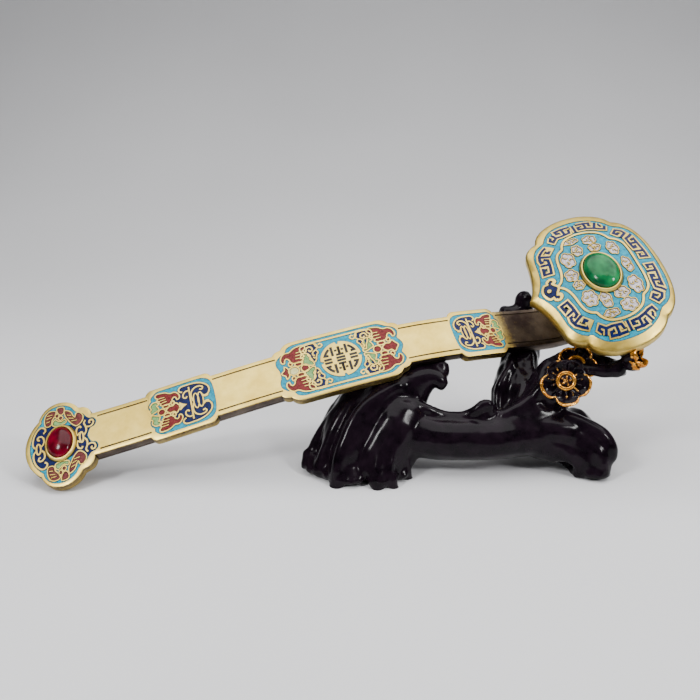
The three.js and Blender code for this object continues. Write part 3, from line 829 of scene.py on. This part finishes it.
# Each white cloud: its middle and its half lengths along and across
CLOUDS = [
    (27.4, 4.2, 3.8, 4.4), (28.6, -3.6, 3.2, 3.2), (30, 15.5, 3.9, 5.8), (37.6, 20.2, 3.1, 4.2),
    (37, 28.3, 4.6, 2.2), (47.6, 25.4, 4, 3.6), (48, 18.6, 3.6, 3), (57.6, 14.6, 3.2, 5.4),
    (60.2, 0.4, 2.7, 5.8), (58.4, -14.2, 3.9, 6.2), (48.6, -17, 4.6, 3.8), (49.4, -25.6, 5, 4.4),
    (38.4, -18.4, 3.1, 5.6), (30.6, -14.4, 4.4, 5.6), (37.8, -27.6, 4.6, 2.6),
]


# A cloud's lobes, and its curls: radians from one to the next, how far out, radius, and degrees run round
CLOUD_BASE, CLOUD_LOBE = 0.78, 0.24
CURL_STEP, CURL_OUT, CURL_RADIUS, CURL_ARC = 2.1, 0.45, 0.9, 230


def cloud(middle, along, across, turn):
    """A white cloud with five or six lobes and a curl inside."""
    lobes = 5 + (turn % 2)
    outline = []
    for t in np.arange(48) * math.pi / 24:
        reach = CLOUD_BASE + CLOUD_LOBE * abs(math.cos(lobes * t / 2 + turn)) ** 0.7
        x, y = along * reach * math.cos(t), across * reach * math.sin(t)
        outline.append(Vector((middle[0] + x, middle[1] + y)))
    head_work.cell("white", outline, width=0.3)
    for k in range(3):
        way = turn + CURL_STEP * k
        at = Vector(middle) + Vector((along * CURL_OUT * math.cos(way), across * CURL_OUT * math.sin(way)))
        start = 60 * turn + 120 * k
        head_work.brass(list(arc(at, CURL_RADIUS, start, start + CURL_ARC, 6)), width=0.28)


def crown_work():
    """The head's drawing: key frets round the edge, a cusp, and clouds inside a lobed line."""
    head_work.enamel("turquoise", whole(HEAD_BED))
    head_work.brass(whole(HEAD_LINE), closed=True, width=1.25)
    for line in mirrored(HEAD_FRETS):
        head_work.fret("cobalt", straight(line))
    cusp = [(8.7, 0), (9.6, 3), (11, 4.6), (13, 4.4), (13.6, 6.4), (15.2, 7), (16.2, 5.4), (14.8, 4),
            (15.6, 2.2), (17, 0)]
    head_work.cell("cobalt", whole(cusp), width=1.2)
    head_work.brass(oval((11.8, 0), 0.7, 0.7, 10), closed=True, width=0.9)
    for line in mirrored([[(13.6, 6.4), (15, 7.8), (17, 6.8), (17.4, 4.8), (16, 3.8), (14.9, 4.6)]]):
        head_work.brass(soft(line), width=1.1)
    for turn, (x, y, along, across) in enumerate(CLOUDS):
        cloud((x, y), along, across, turn)


# Materials


def linear(code):
    """An sRGB hex colour as Blender's linear one."""
    parts = [int(code[i:i + 2], 16) / 255 for i in (1, 3, 5)]
    return (*((c / 12.92 if c <= 0.04045 else ((c + 0.055) / 1.055) ** 2.4) for c in parts), 1)


def plug(tree, made, inputs):
    """Sets a node's inputs, or links them where the value is another node's output."""
    for key, value in inputs.items():
        if isinstance(value, bpy.types.NodeSocket):
            tree.links.new(value, made.inputs[key])
        else:
            made.inputs[key].default_value = value


def node(tree, kind, inputs, stops=(), **settings):
    """Adds a node with its settings and inputs, and a colour ramp's two stops: position and hex colour."""
    made = tree.nodes.new(kind)
    for key, value in settings.items():
        setattr(made, key, value)
    plug(tree, made, inputs)
    for k, (position, code) in enumerate(stops):
        made.color_ramp.elements[k].position = position
        made.color_ramp.elements[k].color = linear(code)
    return made


def finish(name, inputs):
    """A new material: the material itself, its tree and its shader, with inputs set."""
    material = bpy.data.materials.new(name)
    material.use_nodes = True
    tree = material.node_tree
    shader = tree.nodes["Principled BSDF"]
    plug(tree, shader, inputs)
    return material, tree, shader


def painted_seam_shade(tree, colour, reach, shade_tone):
    """Painted shade: darkens a colour towards a dark tone where a wall close by occludes it, as shade falls
    in the seams.
    """
    near = node(tree, "ShaderNodeAmbientOcclusion", {"Distance": reach * MM}, samples=6)
    painted_shade = node(tree, "ShaderNodeMapRange", {"Value": near.outputs["AO"], "From Min": 0.78,
                                              "From Max": 0.98})
    return node(tree, "ShaderNodeMix", {"Factor": painted_shade.outputs[0], "A": linear(shade_tone), "B": colour},
                data_type="RGBA").outputs["Result"]


# Each pattern's size on the real surface, in millimetres
BRASS_BLOTCH, BRASS_SPECK = 14, 1.6
STONE_VEIL = 9
LACQUER_RIPPLE, GILT_RUB = 7, 2.2


def cast_brass():
    """Cast and polished brass: pale gold where it is rubbed, tarnished brown to black in the beds and sides,
    with painted shade on the neck and in the seams.
    """
    material, tree, shader = finish("cast_brass", {"Metallic": 1})
    place = node(tree, "ShaderNodeTexCoord", {}).outputs["Object"]
    patina_and_shade = node(tree, "ShaderNodeAttribute", {}, attribute_name="patina_and_shade").outputs["Fac"]
    blotch = node(tree, "ShaderNodeTexNoise", {"Vector": place, "Scale": 1 / (BRASS_BLOTCH * MM),
                                               "Detail": 5, "Roughness": 0.6}).outputs["Fac"]
    speck = node(tree, "ShaderNodeTexNoise", {"Vector": place, "Scale": 1 / (BRASS_SPECK * MM),
                                              "Detail": 3}).outputs["Fac"]
    rubbed = node(tree, "ShaderNodeValToRGB", {"Fac": blotch}, [(0.3, "#CBAA4C"), (0.72, "#EBD173")])
    dark = node(tree, "ShaderNodeValToRGB", {"Fac": blotch}, [(0.35, "#3E3230"), (0.75, "#75685A")])
    edge = node(tree, "ShaderNodeMath", {0: speck, 1: patina_and_shade, 2: patina_and_shade}, operation="MULTIPLY_ADD")
    amount = node(tree, "ShaderNodeMapRange", {"Value": edge.outputs[0], "From Min": 0.12, "From Max": 1.1})
    aged_and_shaded = node(tree, "ShaderNodeMix", {"Factor": amount.outputs[0], "A": rubbed.outputs["Color"],
                                        "B": dark.outputs["Color"]}, data_type="RGBA")
    rough = node(tree, "ShaderNodeMapRange", {"Value": speck, "To Min": 0.34, "To Max": 0.48})
    bump = node(tree, "ShaderNodeBump", {"Height": blotch, "Strength": 0.12, "Distance": 0.3 * MM})
    # Painted shade in the seams: the brass darkens towards #2A2112 where walls close by occlude it.
    plug(tree, shader, {"Base Color": painted_seam_shade(tree, aged_and_shaded.outputs["Result"], 0.5, "#2A2112"),
                        "Roughness": rough.outputs[0], "Normal": bump.outputs[0]})
    return material


def enamel(name, deep, pale, grain):
    """Fired glass enamel: clouded between two tones, with a few pits, under a polished face, and painted
    shade where it meets the brass walls.
    """
    material, tree, shader = finish(name, {"Roughness": 0.3, "IOR": 1.45, "Specular IOR Level": 0.15})
    place = node(tree, "ShaderNodeTexCoord", {}).outputs["Object"]
    cloudy = node(tree, "ShaderNodeTexNoise", {"Vector": place, "Scale": 1 / (grain * MM), "Detail": 4,
                                               "Roughness": 0.65}).outputs["Fac"]
    fired = node(tree, "ShaderNodeValToRGB", {"Fac": cloudy}, [(0.32, deep), (0.68, pale)])
    pits = node(tree, "ShaderNodeBump", {"Height": cloudy, "Strength": 0.2, "Distance": 0.05 * MM})
    # Painted shade where the enamel meets the brass lines: it darkens towards #1B1A16 where they occlude it.
    plug(tree, shader, {"Base Color": painted_seam_shade(tree, fired.outputs["Color"], 0.8, "#1B1A16"),
                        "Normal": pits.outputs[0]})
    return material


def stone_glass(name, deep, pale, transmission, rough):
    """A polished cabochon: coloured through, a little cloudy, with a hard gloss."""
    material, tree, shader = finish(name, {
        "Roughness": rough, "IOR": 1.5, "Transmission Weight": transmission, "Specular IOR Level": 0.16,
        "Subsurface Weight": 0.35, "Subsurface Scale": 3 * MM})
    place = node(tree, "ShaderNodeTexCoord", {}).outputs["Object"]
    veil = node(tree, "ShaderNodeTexNoise", {"Vector": place, "Scale": 1 / (STONE_VEIL * MM), "Detail": 2})
    tones = node(tree, "ShaderNodeValToRGB", {"Fac": veil.outputs["Fac"]}, [(0.35, deep), (0.7, pale)])
    plug(tree, shader, {"Base Color": tones.outputs["Color"]})
    return material


def black_lacquer(name, gilded=False):
    """Carved wood under black lacquer: a plum cast and a wet gloss, and gold paint on petal edges."""
    material, tree, shader = finish(name, {"IOR": 1.5, "Specular IOR Level": 0.12})
    place = node(tree, "ShaderNodeTexCoord", {}).outputs["Object"]
    ripple = node(tree, "ShaderNodeTexNoise", {"Vector": place, "Scale": 1 / (LACQUER_RIPPLE * MM),
                                               "Detail": 4, "Roughness": 0.55}).outputs["Fac"]
    coat = node(tree, "ShaderNodeValToRGB", {"Fac": ripple}, [(0.3, "#070408"), (0.75, "#1A1019")])
    rough = node(tree, "ShaderNodeMapRange", {"Value": ripple, "To Min": 0.12, "To Max": 0.24})
    bump = node(tree, "ShaderNodeBump", {"Height": ripple, "Strength": 0.15, "Distance": 0.4 * MM})
    plug(tree, shader, {"Base Color": coat.outputs["Color"], "Roughness": rough.outputs[0],
                        "Normal": bump.outputs[0]})
    if gilded:
        rub = node(tree, "ShaderNodeTexNoise", {"Vector": place, "Scale": 1 / (GILT_RUB * MM),
                                                "Detail": 3}).outputs["Fac"]
        gilt = node(tree, "ShaderNodeAttribute", {}, attribute_name="gilt").outputs["Fac"]
        worn = node(tree, "ShaderNodeMath", {0: gilt, 1: rub}, operation="ADD")
        paint = node(tree, "ShaderNodeMapRange", {"Value": worn.outputs[0], "From Min": 0.86, "From Max": 1})
        gold = node(tree, "ShaderNodeValToRGB", {"Fac": rub}, [(0.35, "#A8621C"), (0.65, "#E8AA4E")])
        painted = node(tree, "ShaderNodeMix", {"Factor": paint.outputs[0], "A": coat.outputs["Color"],
                                               "B": gold.outputs["Color"]}, data_type="RGBA")
        metal = node(tree, "ShaderNodeMath", {0: paint.outputs[0], 1: 0.75}, operation="MULTIPLY")
        plug(tree, shader, {"Base Color": painted.outputs["Result"], "Metallic": metal.outputs[0]})
    return material


brass = cast_brass()
enamels = {
    "turquoise": enamel("turquoise_enamel", "#046E88", "#1A9DB6", 2.0),
    "cobalt": enamel("cobalt_enamel", "#080F30", "#14235A", 1.6),
    "red": enamel("red_enamel", "#541517", "#7F2D2D", 1.4),
    "brown": enamel("brown_enamel", "#4A1F22", "#763C3A", 1.4),
    "green": enamel("green_enamel", "#4D7F42", "#8DB376", 1.4),
    "white": enamel("white_enamel", "#8F7F86", "#E9E6EF", 0.55),
    "straw": enamel("straw_enamel", "#BEBB74", "#DAD79E", 1.4),
    "black": enamel("black_enamel", "#17161A", "#3A3838", 1.4),
}


def enamel_pieces():
    """One piece for each colour of enamel, on the shaft and the head together."""
    for colour, material in enamels.items():
        meshes = []
        for work in (shaft_work, head_work):
            meshes += [work.cell_mesh(colour), *work.line_meshes(colour)]
        thing = piece(f"{colour}_enamel", joined(colour, meshes), material)
        soften(thing.data)


def brass_piece():
    """The cast body and its raised lines. It gives back the body's form without the collars."""
    form = joined("form", [face_plate(), spine(), head_plate()])
    meshes = [form, collar(RED_STONE, RED_COLLAR, in_tail), collar(GREEN_STONE, GREEN_COLLAR, on_crown)]
    thing = piece("cast_body", joined("cast_body", meshes), brass)
    soften(thing.data)
    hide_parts("sceptre_body")
    lines = []
    for work in (shaft_work, head_work):
        lines += [work.cell_mesh("brass"), *work.line_meshes("brass")]
    wires = piece("brass_lines", joined("brass_lines", lines), brass)
    soften(wires.data)
    return form


def stone_pieces():
    """The two oval stones in their collars."""
    red = piece("ruby_glass_cabochon", cabochon(RED_STONE, RED_GIRDLE, RED_DOME, in_tail),
                stone_glass("ruby_glass", "#4A0010", "#900A2A", 0.15, 0.16))
    green = piece("green_chalcedony_cabochon", cabochon(GREEN_STONE, GREEN_GIRDLE, GREEN_DOME, on_crown),
                  stone_glass("green_chalcedony", "#0A4F2C", "#238C50", 0.1, 0.14))
    red.data.shade_smooth()
    green.data.shade_smooth()
    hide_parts("red_cabochon")
    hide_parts("green_cabochon")


tail_work()
small_plaque(Vector, LOWER_BED)
middle_work()
small_plaque(as_upper, UPPER_BED)
crown_work()
sceptre_form = brass_piece()
enamel_pieces()
stone_pieces()

# The stand

# Ridges and toes carved on the stand's roots: stops of x, y, z and the radius there
RIDGES = [
    [(30, -16, 53, 3), (16.5, -19.5, 46.5, 4.2), (6, -24.5, 39, 4.4), (-0.4, -30.5, 29, 4.2),
     (-4.9, -36, 18, 4.2), (-7, -39.5, 8, 4.4), (-7.5, -41, -4, 4.6)],
    [(1.4, -14, 43, 3), (-5.7, -20, 32.8, 3.6), (-11.5, -25.5, 22.3, 3.6), (-16, -29.5, 11, 3.6),
     (-18.5, -31, 2.5, 3.8)],
    [(-3.3, -14, 41, 2.6), (-14, -12, 26, 3.6), (-21, -16, 14, 3.4), (-25, -19, 3, 3.4)],
    [(18.6, -36.6, 21, 2), (16, -40.8, 14, 2.8), (14.3, -43.2, 7, 3.2), (16.4, -44, -3, 3.6)],
    [(24.5, -37, 20, 1.6), (22.8, -40.4, 14, 2.4), (22.2, -42, 7, 2.8), (26, -42.6, -3, 3.2)],
    [(32, -31, 16, 2), (32.4, -33, 8, 2.6), (35, -31, -3, 2.8)],
    [(38, -19, 42.5, 2.4), (47, -19.5, 37, 3.4), (60, -17.6, 32, 3.6), (69, -19.5, 34.4, 3),
     (75.4, -21.5, 40.4, 2.8), (79.5, -21.6, 42, 2), (81.4, -21.6, 39.4, 1.6)],
    [(87.8, -21, 34.5, 3), (99.6, -19.2, 38.4, 3.6), (110, -16.4, 46, 3.6), (116, -15, 57, 3)],
    [(117, -14, 36, 3), (134.5, -22.4, 31.6, 4), (144.5, -26, 25.6, 4), (149.6, -30.5, 17, 3.8),
     (147.4, -33.5, 3, 3.4)],
    [(130, -21, 30, 1.8), (142.6, -31, 21.5, 2.4), (145.8, -34.5, 13.3, 2.8), (147.6, -35.4, 3, 3.6)],
    [(116, -21, 26, 2), (131, -29, 17.6, 2.4), (138.2, -32.2, 11, 2.6), (142.4, -34.4, 2, 3.2)],
    [(90, -6, 32, 2.4), (90, 0.6, 40, 3.4), (93.6, 2.4, 49, 3.2), (99, 9, 56, 3), (101, 15, 61, 2.4)],
    [(100, -12, 41, 2.4), (106, 0, 47, 3), (111, 9, 55, 2.8), (112, 14, 63, 2)],
    [(30, 3, 55, 3), (14, 8, 46, 4), (2, 16, 34, 4), (-6, 24, 20, 4), (-11, 28, 8, 3.6), (-12, 30, 2, 3.6)],
    [(26, -2, 40, 3), (42, -9, 33, 3.6), (60, -12, 28, 3.6), (78, -14, 27, 3.4), (96, -16, 28, 3)],
    [(118, -14, 36, 3), (130, -8, 30, 3.6), (140, -1, 20, 3.6), (146, 4, 9, 3.4), (148, 6, 2, 3.4)],
    [(88, -2, 30, 3), (94, 6, 20, 3.4), (97, 13, 9, 3.4), (98, 15, 2, 3.4)],
]
TOES = [
    (-26.6, -25, 3.4), (-23.4, -29.4, 3.2), (-19.4, -33, 3), (-13.4, -37.4, 3), (-9, -41.6, 3.2),
    (-4.4, -44, 3.2), (0.6, -44.8, 3), (5.2, -43.4, 2.8), (13, -45, 3.4), (18.6, -45.8, 3.6),
    (24.6, -43.6, 3.4), (31.6, -37.4, 2.8), (139.4, -36.4, 3), (145, -38, 3.2), (149.4, -36, 2.6),
]
# Along a toe: its x as a share and a shift, how far back and up, and the share of its radius
TOE_STOPS = [(1, 0, 0, 2.6, 0.8), (0.99, 0.2, 4, 6, 1), (0.97, 0.6, 9, 10, 0.9)]
KNOB = [(75.4, -20, 39.6, 3.4), (79, -20.5, 43, 3.6), (82.6, -21, 41.6, 2.8), (83, -21, 38.4, 2)]
PRONG = [(111.5, 41.5, 82, 4), (112, 42, 90, 3.6), (113.6, 41.6, 92, 3), (115, 41, 87, 3)]
BUD_STEM = [(133, -11, 62, 3), (141, -16, 62.4, 3.6), (148, -18.4, 61.4, 4.2), (154.5, -18.8, 63.4, 4.8),
            (157.6, -19, 60.2, 3.6)]
BUD_BASE = [(152, -18.6, 64, 3), (158, -18.8, 67, 3.6), (162, -19.2, 69.6, 2.4)]
LOBE = [(124, -20, 35, 4), (138, -23, 30, 5), (148, -27, 24, 5.4), (152.4, -29.4, 17, 5),
        (151.6, -29.6, 12, 4.4)]
THIGH = [(94, -18, 26, 10), (106, -19, 26.4, 11), (120, -19.6, 26.4, 11.6), (132, -20.4, 23.6, 10)]
VOXEL, SMOOTHINGS = 1.0, 22
SEAT_GAP, SEAT_REACH = 0.4, 8

# The carver's unevenness: how far it swells, its knots and dents with their sizes, and the upright's bark
SWELL = 0.35
KNOTS, KNOT_SIZE = 0.6, 13
DENTS, DENT_SIZE = 0.12, 5
BARK, BARK_BEHIND, BARK_ABOVE, BARK_FADE = 1.3, -6, 34, 6
BARK_ACROSS, BARK_UP = 5, 20
FLOWER_GROOVES = [(17.4, 4.4), (15, 4.8)]
BUD_HOLLOW = [(159.4, -18.7, 70, 5), (163, -18.7, 68, 9.5), (168, -18.7, 67, 9.5), (172, -18.7, 67, 6)]
FOOT_HOLLOWS = [
    [(125, -46, 1, 7), (126, -34, 4, 7), (126, -20, 4, 6)],
    [(157.6, -50, 5, 5), (156.4, -34, 5.4, 5), (157, -20, 5.4, 5)],
]


def around(flower, radius, wire):
    """A limb that runs round a flower's disc."""
    across = Vector((1, 0, 0))
    across = (across - across.dot(FLOWER_FACING) * FLOWER_FACING).normalized()
    up = FLOWER_FACING.cross(across)
    stops = []
    for turn in np.radians(np.arange(0, 376, 15)):
        stop = flower + FLOWER_FACING * 2 + (across * math.cos(turn) + up * math.sin(turn)) * radius
        stops.append((*stop, wire))
    return stops


def limbs(paths):
    """Round limbs through stops of x, y, z and radius."""
    curve = bpy.data.curves.new("limbs", "CURVE")
    curve.dimensions = "3D"
    curve.bevel_depth = 1
    curve.bevel_resolution = 3
    curve.use_fill_caps = True
    for stops in paths:
        spline = curve.splines.new("NURBS")
        spline.points.add(len(stops) - 1)
        for point, (x, y, z, radius) in zip(spline.points, stops):
            point.co = (x, y, z, 1)
            point.radius = radius
        spline.use_endpoint_u = True
        spline.order_u = 3
        spline.resolution_u = 6
    return modified(curve)


def carved_stand(sceptre):
    """The solid's roots rounded and ridged by the carver, kept clear of the sceptre that lies in them."""
    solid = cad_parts["stand"]
    bm = bmesh.new()
    bm.from_mesh(solid.data)
    bm.transform(Matrix.Scale(1 / MM, 4) @ solid.matrix_world)
    bmesh.ops.remove_doubles(bm, verts=bm.verts, dist=0.01)
    core = mesh_of(bm, "core")
    grooves = [around(flower, *groove) for flower, groove in zip(FLOWERS, FLOWER_GROOVES)]
    for hollow in [*grooves, BUD_HOLLOW, *FOOT_HOLLOWS]:
        core = less(core, limbs([hollow]), use_self=True)
    toes = [[(x * share + shift, y + back, up, radius * size) for share, shift, back, up, size in TOE_STOPS]
            for x, y, radius in TOES]
    block = joined("block", [core, limbs([*RIDGES, *toes, KNOB, PRONG, BUD_STEM, BUD_BASE, LOBE, THIGH])])
    block = modified(block, ("REMESH", {"mode": "VOXEL", "voxel_size": VOXEL}),
                     ("SMOOTH", {"factor": 0.5, "iterations": SMOOTHINGS}))
    bm = bmesh.new()
    bm.from_mesh(block)
    bm.normal_update()
    touch = BVHTree.FromPolygons([v.co / MM for v in sceptre.vertices],
                                 [p.vertices for p in sceptre.polygons])
    for v in bm.verts:
        swell = SWELL + KNOTS * noise.noise(v.co / KNOT_SIZE) + DENTS * noise.noise(v.co / DENT_SIZE)
        if v.co.y > BARK_BEHIND and v.co.z > BARK_ABOVE:
            grain = noise.noise(Vector((v.co.x / BARK_ACROSS, v.co.y / BARK_ACROSS, v.co.z / BARK_UP)))
            behind, above = v.co.y - BARK_BEHIND, v.co.z - BARK_ABOVE
            swell += BARK * grain * min(behind / BARK_FADE, above / BARK_FADE, 1)
        v.co += v.normal * swell
        v.co.z = max(v.co.z, 0)
        hit, normal, _, distance = touch.find_nearest(v.co)
        if distance < SEAT_REACH and (v.co - hit).dot(normal) < SEAT_GAP:
            v.co = hit + normal * SEAT_GAP
    bmesh.ops.scale(bm, vec=(MM, MM, MM), verts=bm.verts)
    mesh = mesh_of(bm, "stand")
    mesh.shade_smooth()
    return mesh


FLOWER_FACING = Vector((-0.16, -0.92, 0.36)).normalized()
FLOWERS = [Vector((125.3, -18.7, 56)), Vector((132.8, -9.9, 62.5))]
BUD_AT, BUD_FACING = Vector((158.4, -19.6, 68.6)), Vector((0.74, -0.42, 0.54)).normalized()
HEART_FRONT = 2.3

# Each blossom's petals: the way each points in degrees, its length and how much of its rim is gilt
FRONT_PETALS = [(50, 12, 0), (124, 12.4, 0.35), (194, 14.4, 1), (268, 14.2, 1), (338, 13.8, 0.8)]
UPPER_PETALS = [(54, 11.4, 1), (126, 11, 0.9), (198, 11, 0), (270, 11, 0), (342, 11.4, 0.9)]


# Where the gilding starts, out of a petal's length, and over how much it comes in
GILT_FROM, GILT_FADE = 0.76, 0.12


def petal(size, cup, turn, ripple, gilding):
    """A cupped petal about a flower's axis, with its gilt rim marked."""
    bm = bmesh.new()
    bmesh.ops.create_grid(bm, x_segments=13, y_segments=13, size=1)
    gilt = bm.verts.layers.float.new("gilt")
    for v in bm.verts:
        u, w = v.co.x * math.sqrt(1 - v.co.y**2 / 2), v.co.y * math.sqrt(1 - v.co.x**2 / 2)
        out = min(math.hypot(u, w), 1)
        wave = ripple * math.sin(5 * math.atan2(w, u) + turn) * out**3
        v[gilt] = gilding * max(0, min(1, (out * (0.75 + 0.25 * u) - GILT_FROM) / GILT_FADE))
        v.co = Vector((0.56 + 0.46 * u - 0.05 * w * w, (0.4 + 0.13 * u) * w * 1.1, 0)) * size
        v.co.z = cup * out**2.4 * (0.25 + 0.375 * (u + 1)) + wave
    bmesh.ops.rotate(bm, verts=bm.verts, matrix=Matrix.Rotation(turn, 3, "Z"))
    return modified(mesh_of(bm, "petal"), ("SOLIDIFY", {"thickness": 1.1, "offset": -1}),
                    ("SUBSURF", {"levels": 1}))


def ring(radius, wire, up):
    """A round wire about a flower's axis."""
    bm = bmesh.new()
    circle = bmesh.ops.create_circle(bm, segments=10, radius=wire)["verts"]
    upright = Matrix.Translation((radius, 0, up)) @ Matrix.Rotation(math.pi / 2, 4, "X")
    bmesh.ops.transform(bm, verts=circle, matrix=upright)
    bmesh.ops.spin(bm, geom=bm.verts[:] + bm.edges[:], axis=(0, 0, 1), cent=(0, 0, 0), angle=2 * math.pi,
                   steps=36, use_merge=True)
    bmesh.ops.recalc_face_normals(bm, faces=bm.faces)
    return mesh_of(bm, "ring")


def marked(mesh, gilt):
    """Gives a whole mesh one amount of gilding."""
    layer = mesh.attributes.new("gilt", "FLOAT", "POINT")
    layer.data.foreach_set("value", np.full(len(mesh.vertices), gilt))
    return mesh


STAMEN, STAMEN_STEP = 8.6, 1.1


def blossom(petals):
    """Five cupped petals, a gilt ring with a button in it, and stamens round it."""
    leaves = [petal(size, 3.2, math.radians(turn), 0.5, gilding) for turn, size, gilding in petals]
    stamens = []
    for k in range(15):
        way = Vector((math.cos(k * math.radians(24)), math.sin(k * math.radians(24)), 0))
        reach = STAMEN + STAMEN_STEP * (k % 2)
        stops = [(4, 0.9, 0.5), (reach - 1, 1.7, 0.45), (reach - 0.3, 2.2, 0.8), (reach + 0.6, 2.1, 0.35)]
        stamens.append([(*(way * out + Vector((0, 0, up))), radius) for out, up, radius in stops])
    button = [[(0, 0, 0, 2.2), (0, 0, 1.5, 2.0), (0, 0, 2.1, 1)]]
    for k in range(5):
        way = Vector((math.cos(k * math.radians(72)), math.sin(k * math.radians(72))))
        button.append([(*(way * out), up, 0.6) for out, up in ((0.6, 2), (1.6, 2.4), (2.6, 1.8))])
    return joined("blossom", [*leaves, marked(limbs(stamens), 0.3), marked(ring(4.7, 1.15, 1.7), 1),
                              marked(limbs(button), 0.46)])


def half_open_bud():
    """Long petals still closed round each other, their edges gilt."""
    inner = [petal(7, 10.5, math.radians(72 * k), 0.3, 0.8) for k in range(5)]
    outer = [petal(8, 7, math.radians(36 + 120 * k), 0.4, 0.9) for k in range(3)]
    return joined("bud", [*inner, *outer])


def set_flower(name, mesh, centre, facing, lacquer, lift):
    """Sets a flower, made about its own axis, at its place on the stand."""
    turn = Vector((0, 0, 1)).rotation_difference(facing).to_matrix().to_4x4()
    mesh.transform(Matrix.Scale(MM, 4) @ Matrix.Translation(centre) @ turn @ Matrix.Translation((0, 0, lift)))
    thing = piece(name, mesh, lacquer)
    soften(mesh, 50)


def stand_pieces(sceptre):
    """The carved stand with its two blossoms and its bud."""
    lacquer, gilt = black_lacquer("black_lacquer"), black_lacquer("gilt_edged_lacquer", gilded=True)
    stand = piece("root_stand", carved_stand(sceptre), lacquer)
    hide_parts("stand")
    set_flower("front_blossom", blossom(FRONT_PETALS), FLOWERS[0], FLOWER_FACING, gilt, HEART_FRONT)
    set_flower("upper_blossom", blossom(UPPER_PETALS), FLOWERS[1], FLOWER_FACING, gilt, HEART_FRONT)
    set_flower("half_open_bud", half_open_bud(), BUD_AT, BUD_FACING, gilt, 0)


stand_pieces(sceptre_form)


# Studio

# In metres: where the sweep starts to rise, its bend and its half size, and where the front lamps look
SWEEP_FROM, SWEEP_RADIUS, SWEEP_HALF = 0.3, 1.1, 5
LOOK_AT = (0, 0, 0.06)

# The photograph's camera: its eye in millimetres, how far it looks down, its sensor, and its focal length
CAMERA_AT = Vector((0.209, -444.05, 213.05))
CAMERA_DOWN = math.radians(18)
CAMERA_SENSOR = 36
PICTURE_WIDTH, FOCAL_PIXELS = 700, 780


def area_light(name, at, towards, size, power):
    """A soft square lamp that looks at a point."""
    light = bpy.data.lights.new(name, "AREA")
    light.shape = "RECTANGLE"
    light.size, light.size_y = size
    light.energy = power
    lamp = bpy.data.objects.new(name, light)
    lamp.location = at
    lamp.rotation_euler = (Vector(towards) - Vector(at)).to_track_quat("-Z", "Y").to_euler()
    bpy.context.scene.collection.objects.link(lamp)


def sweep():
    """A pale seamless sheet that curves up behind the stand."""
    bm = bmesh.new()
    bmesh.ops.create_grid(bm, x_segments=2, y_segments=160, size=SWEEP_HALF)
    for v in bm.verts:
        past = max(v.co.y - SWEEP_FROM, 0)
        turn = min(past / SWEEP_RADIUS, math.pi / 2)
        v.co.y = min(v.co.y, SWEEP_FROM) + SWEEP_RADIUS * math.sin(turn)
        v.co.z = SWEEP_RADIUS * (1 - math.cos(turn)) + past - SWEEP_RADIUS * turn
    floor = bpy.data.objects.new("floor", mesh_of(bm, "floor"))
    floor.data.shade_smooth()
    material, tree, shader = finish("floor_paper", {"Roughness": 0.7})
    place = node(tree, "ShaderNodeTexCoord", {}).outputs["Object"]
    mottle = node(tree, "ShaderNodeTexNoise", {"Vector": place, "Scale": 3})
    tones = node(tree, "ShaderNodeValToRGB", {"Fac": mottle.outputs["Fac"]},
                 [(0.3, "#D4D4D6"), (0.7, "#DADADC")])
    plug(tree, shader, {"Base Color": tones.outputs["Color"]})
    floor.data.materials.append(material)
    bpy.context.scene.collection.objects.link(floor)


def camera():
    """The photograph's camera: straight along +Y and a little down."""
    lens = bpy.data.cameras.new("camera")
    lens.sensor_width = CAMERA_SENSOR
    lens.lens = CAMERA_SENSOR * FOCAL_PIXELS / PICTURE_WIDTH
    lens.clip_start = 0.01
    eye = bpy.data.objects.new("camera", lens)
    eye.location = CAMERA_AT * MM
    eye.rotation_euler = (math.pi / 2 - CAMERA_DOWN, 0, 0)
    bpy.context.scene.collection.objects.link(eye)
    bpy.context.scene.camera = eye


sweep()
camera()
area_light("overhead_softbox", (0.2, 0.03, 0.8), (0.2, 0.03, 0), (1.5, 0.86), 13.5)
area_light("front_left", (-0.62, -0.6, 0.74), LOOK_AT, (0.18, 0.24), 7.5)
area_light("front_right", (0.8, -0.65, 0.7), LOOK_AT, (0.18, 0.24), 7.5)
world = bpy.data.worlds.new("studio")
world.use_nodes = True
sky = world.node_tree
way_out = node(sky, "ShaderNodeTexCoord", {}).outputs["Generated"]
height = node(sky, "ShaderNodeSeparateXYZ", {"Vector": way_out})
glow = node(sky, "ShaderNodeValToRGB", {"Fac": height.outputs["Z"]}, [(0.08, "#1A1A1C"), (0.8, "#6A6A6C")])
plug(sky, sky.nodes["Background"], {"Color": glow.outputs["Color"], "Strength": 1})
bpy.context.scene.world = world
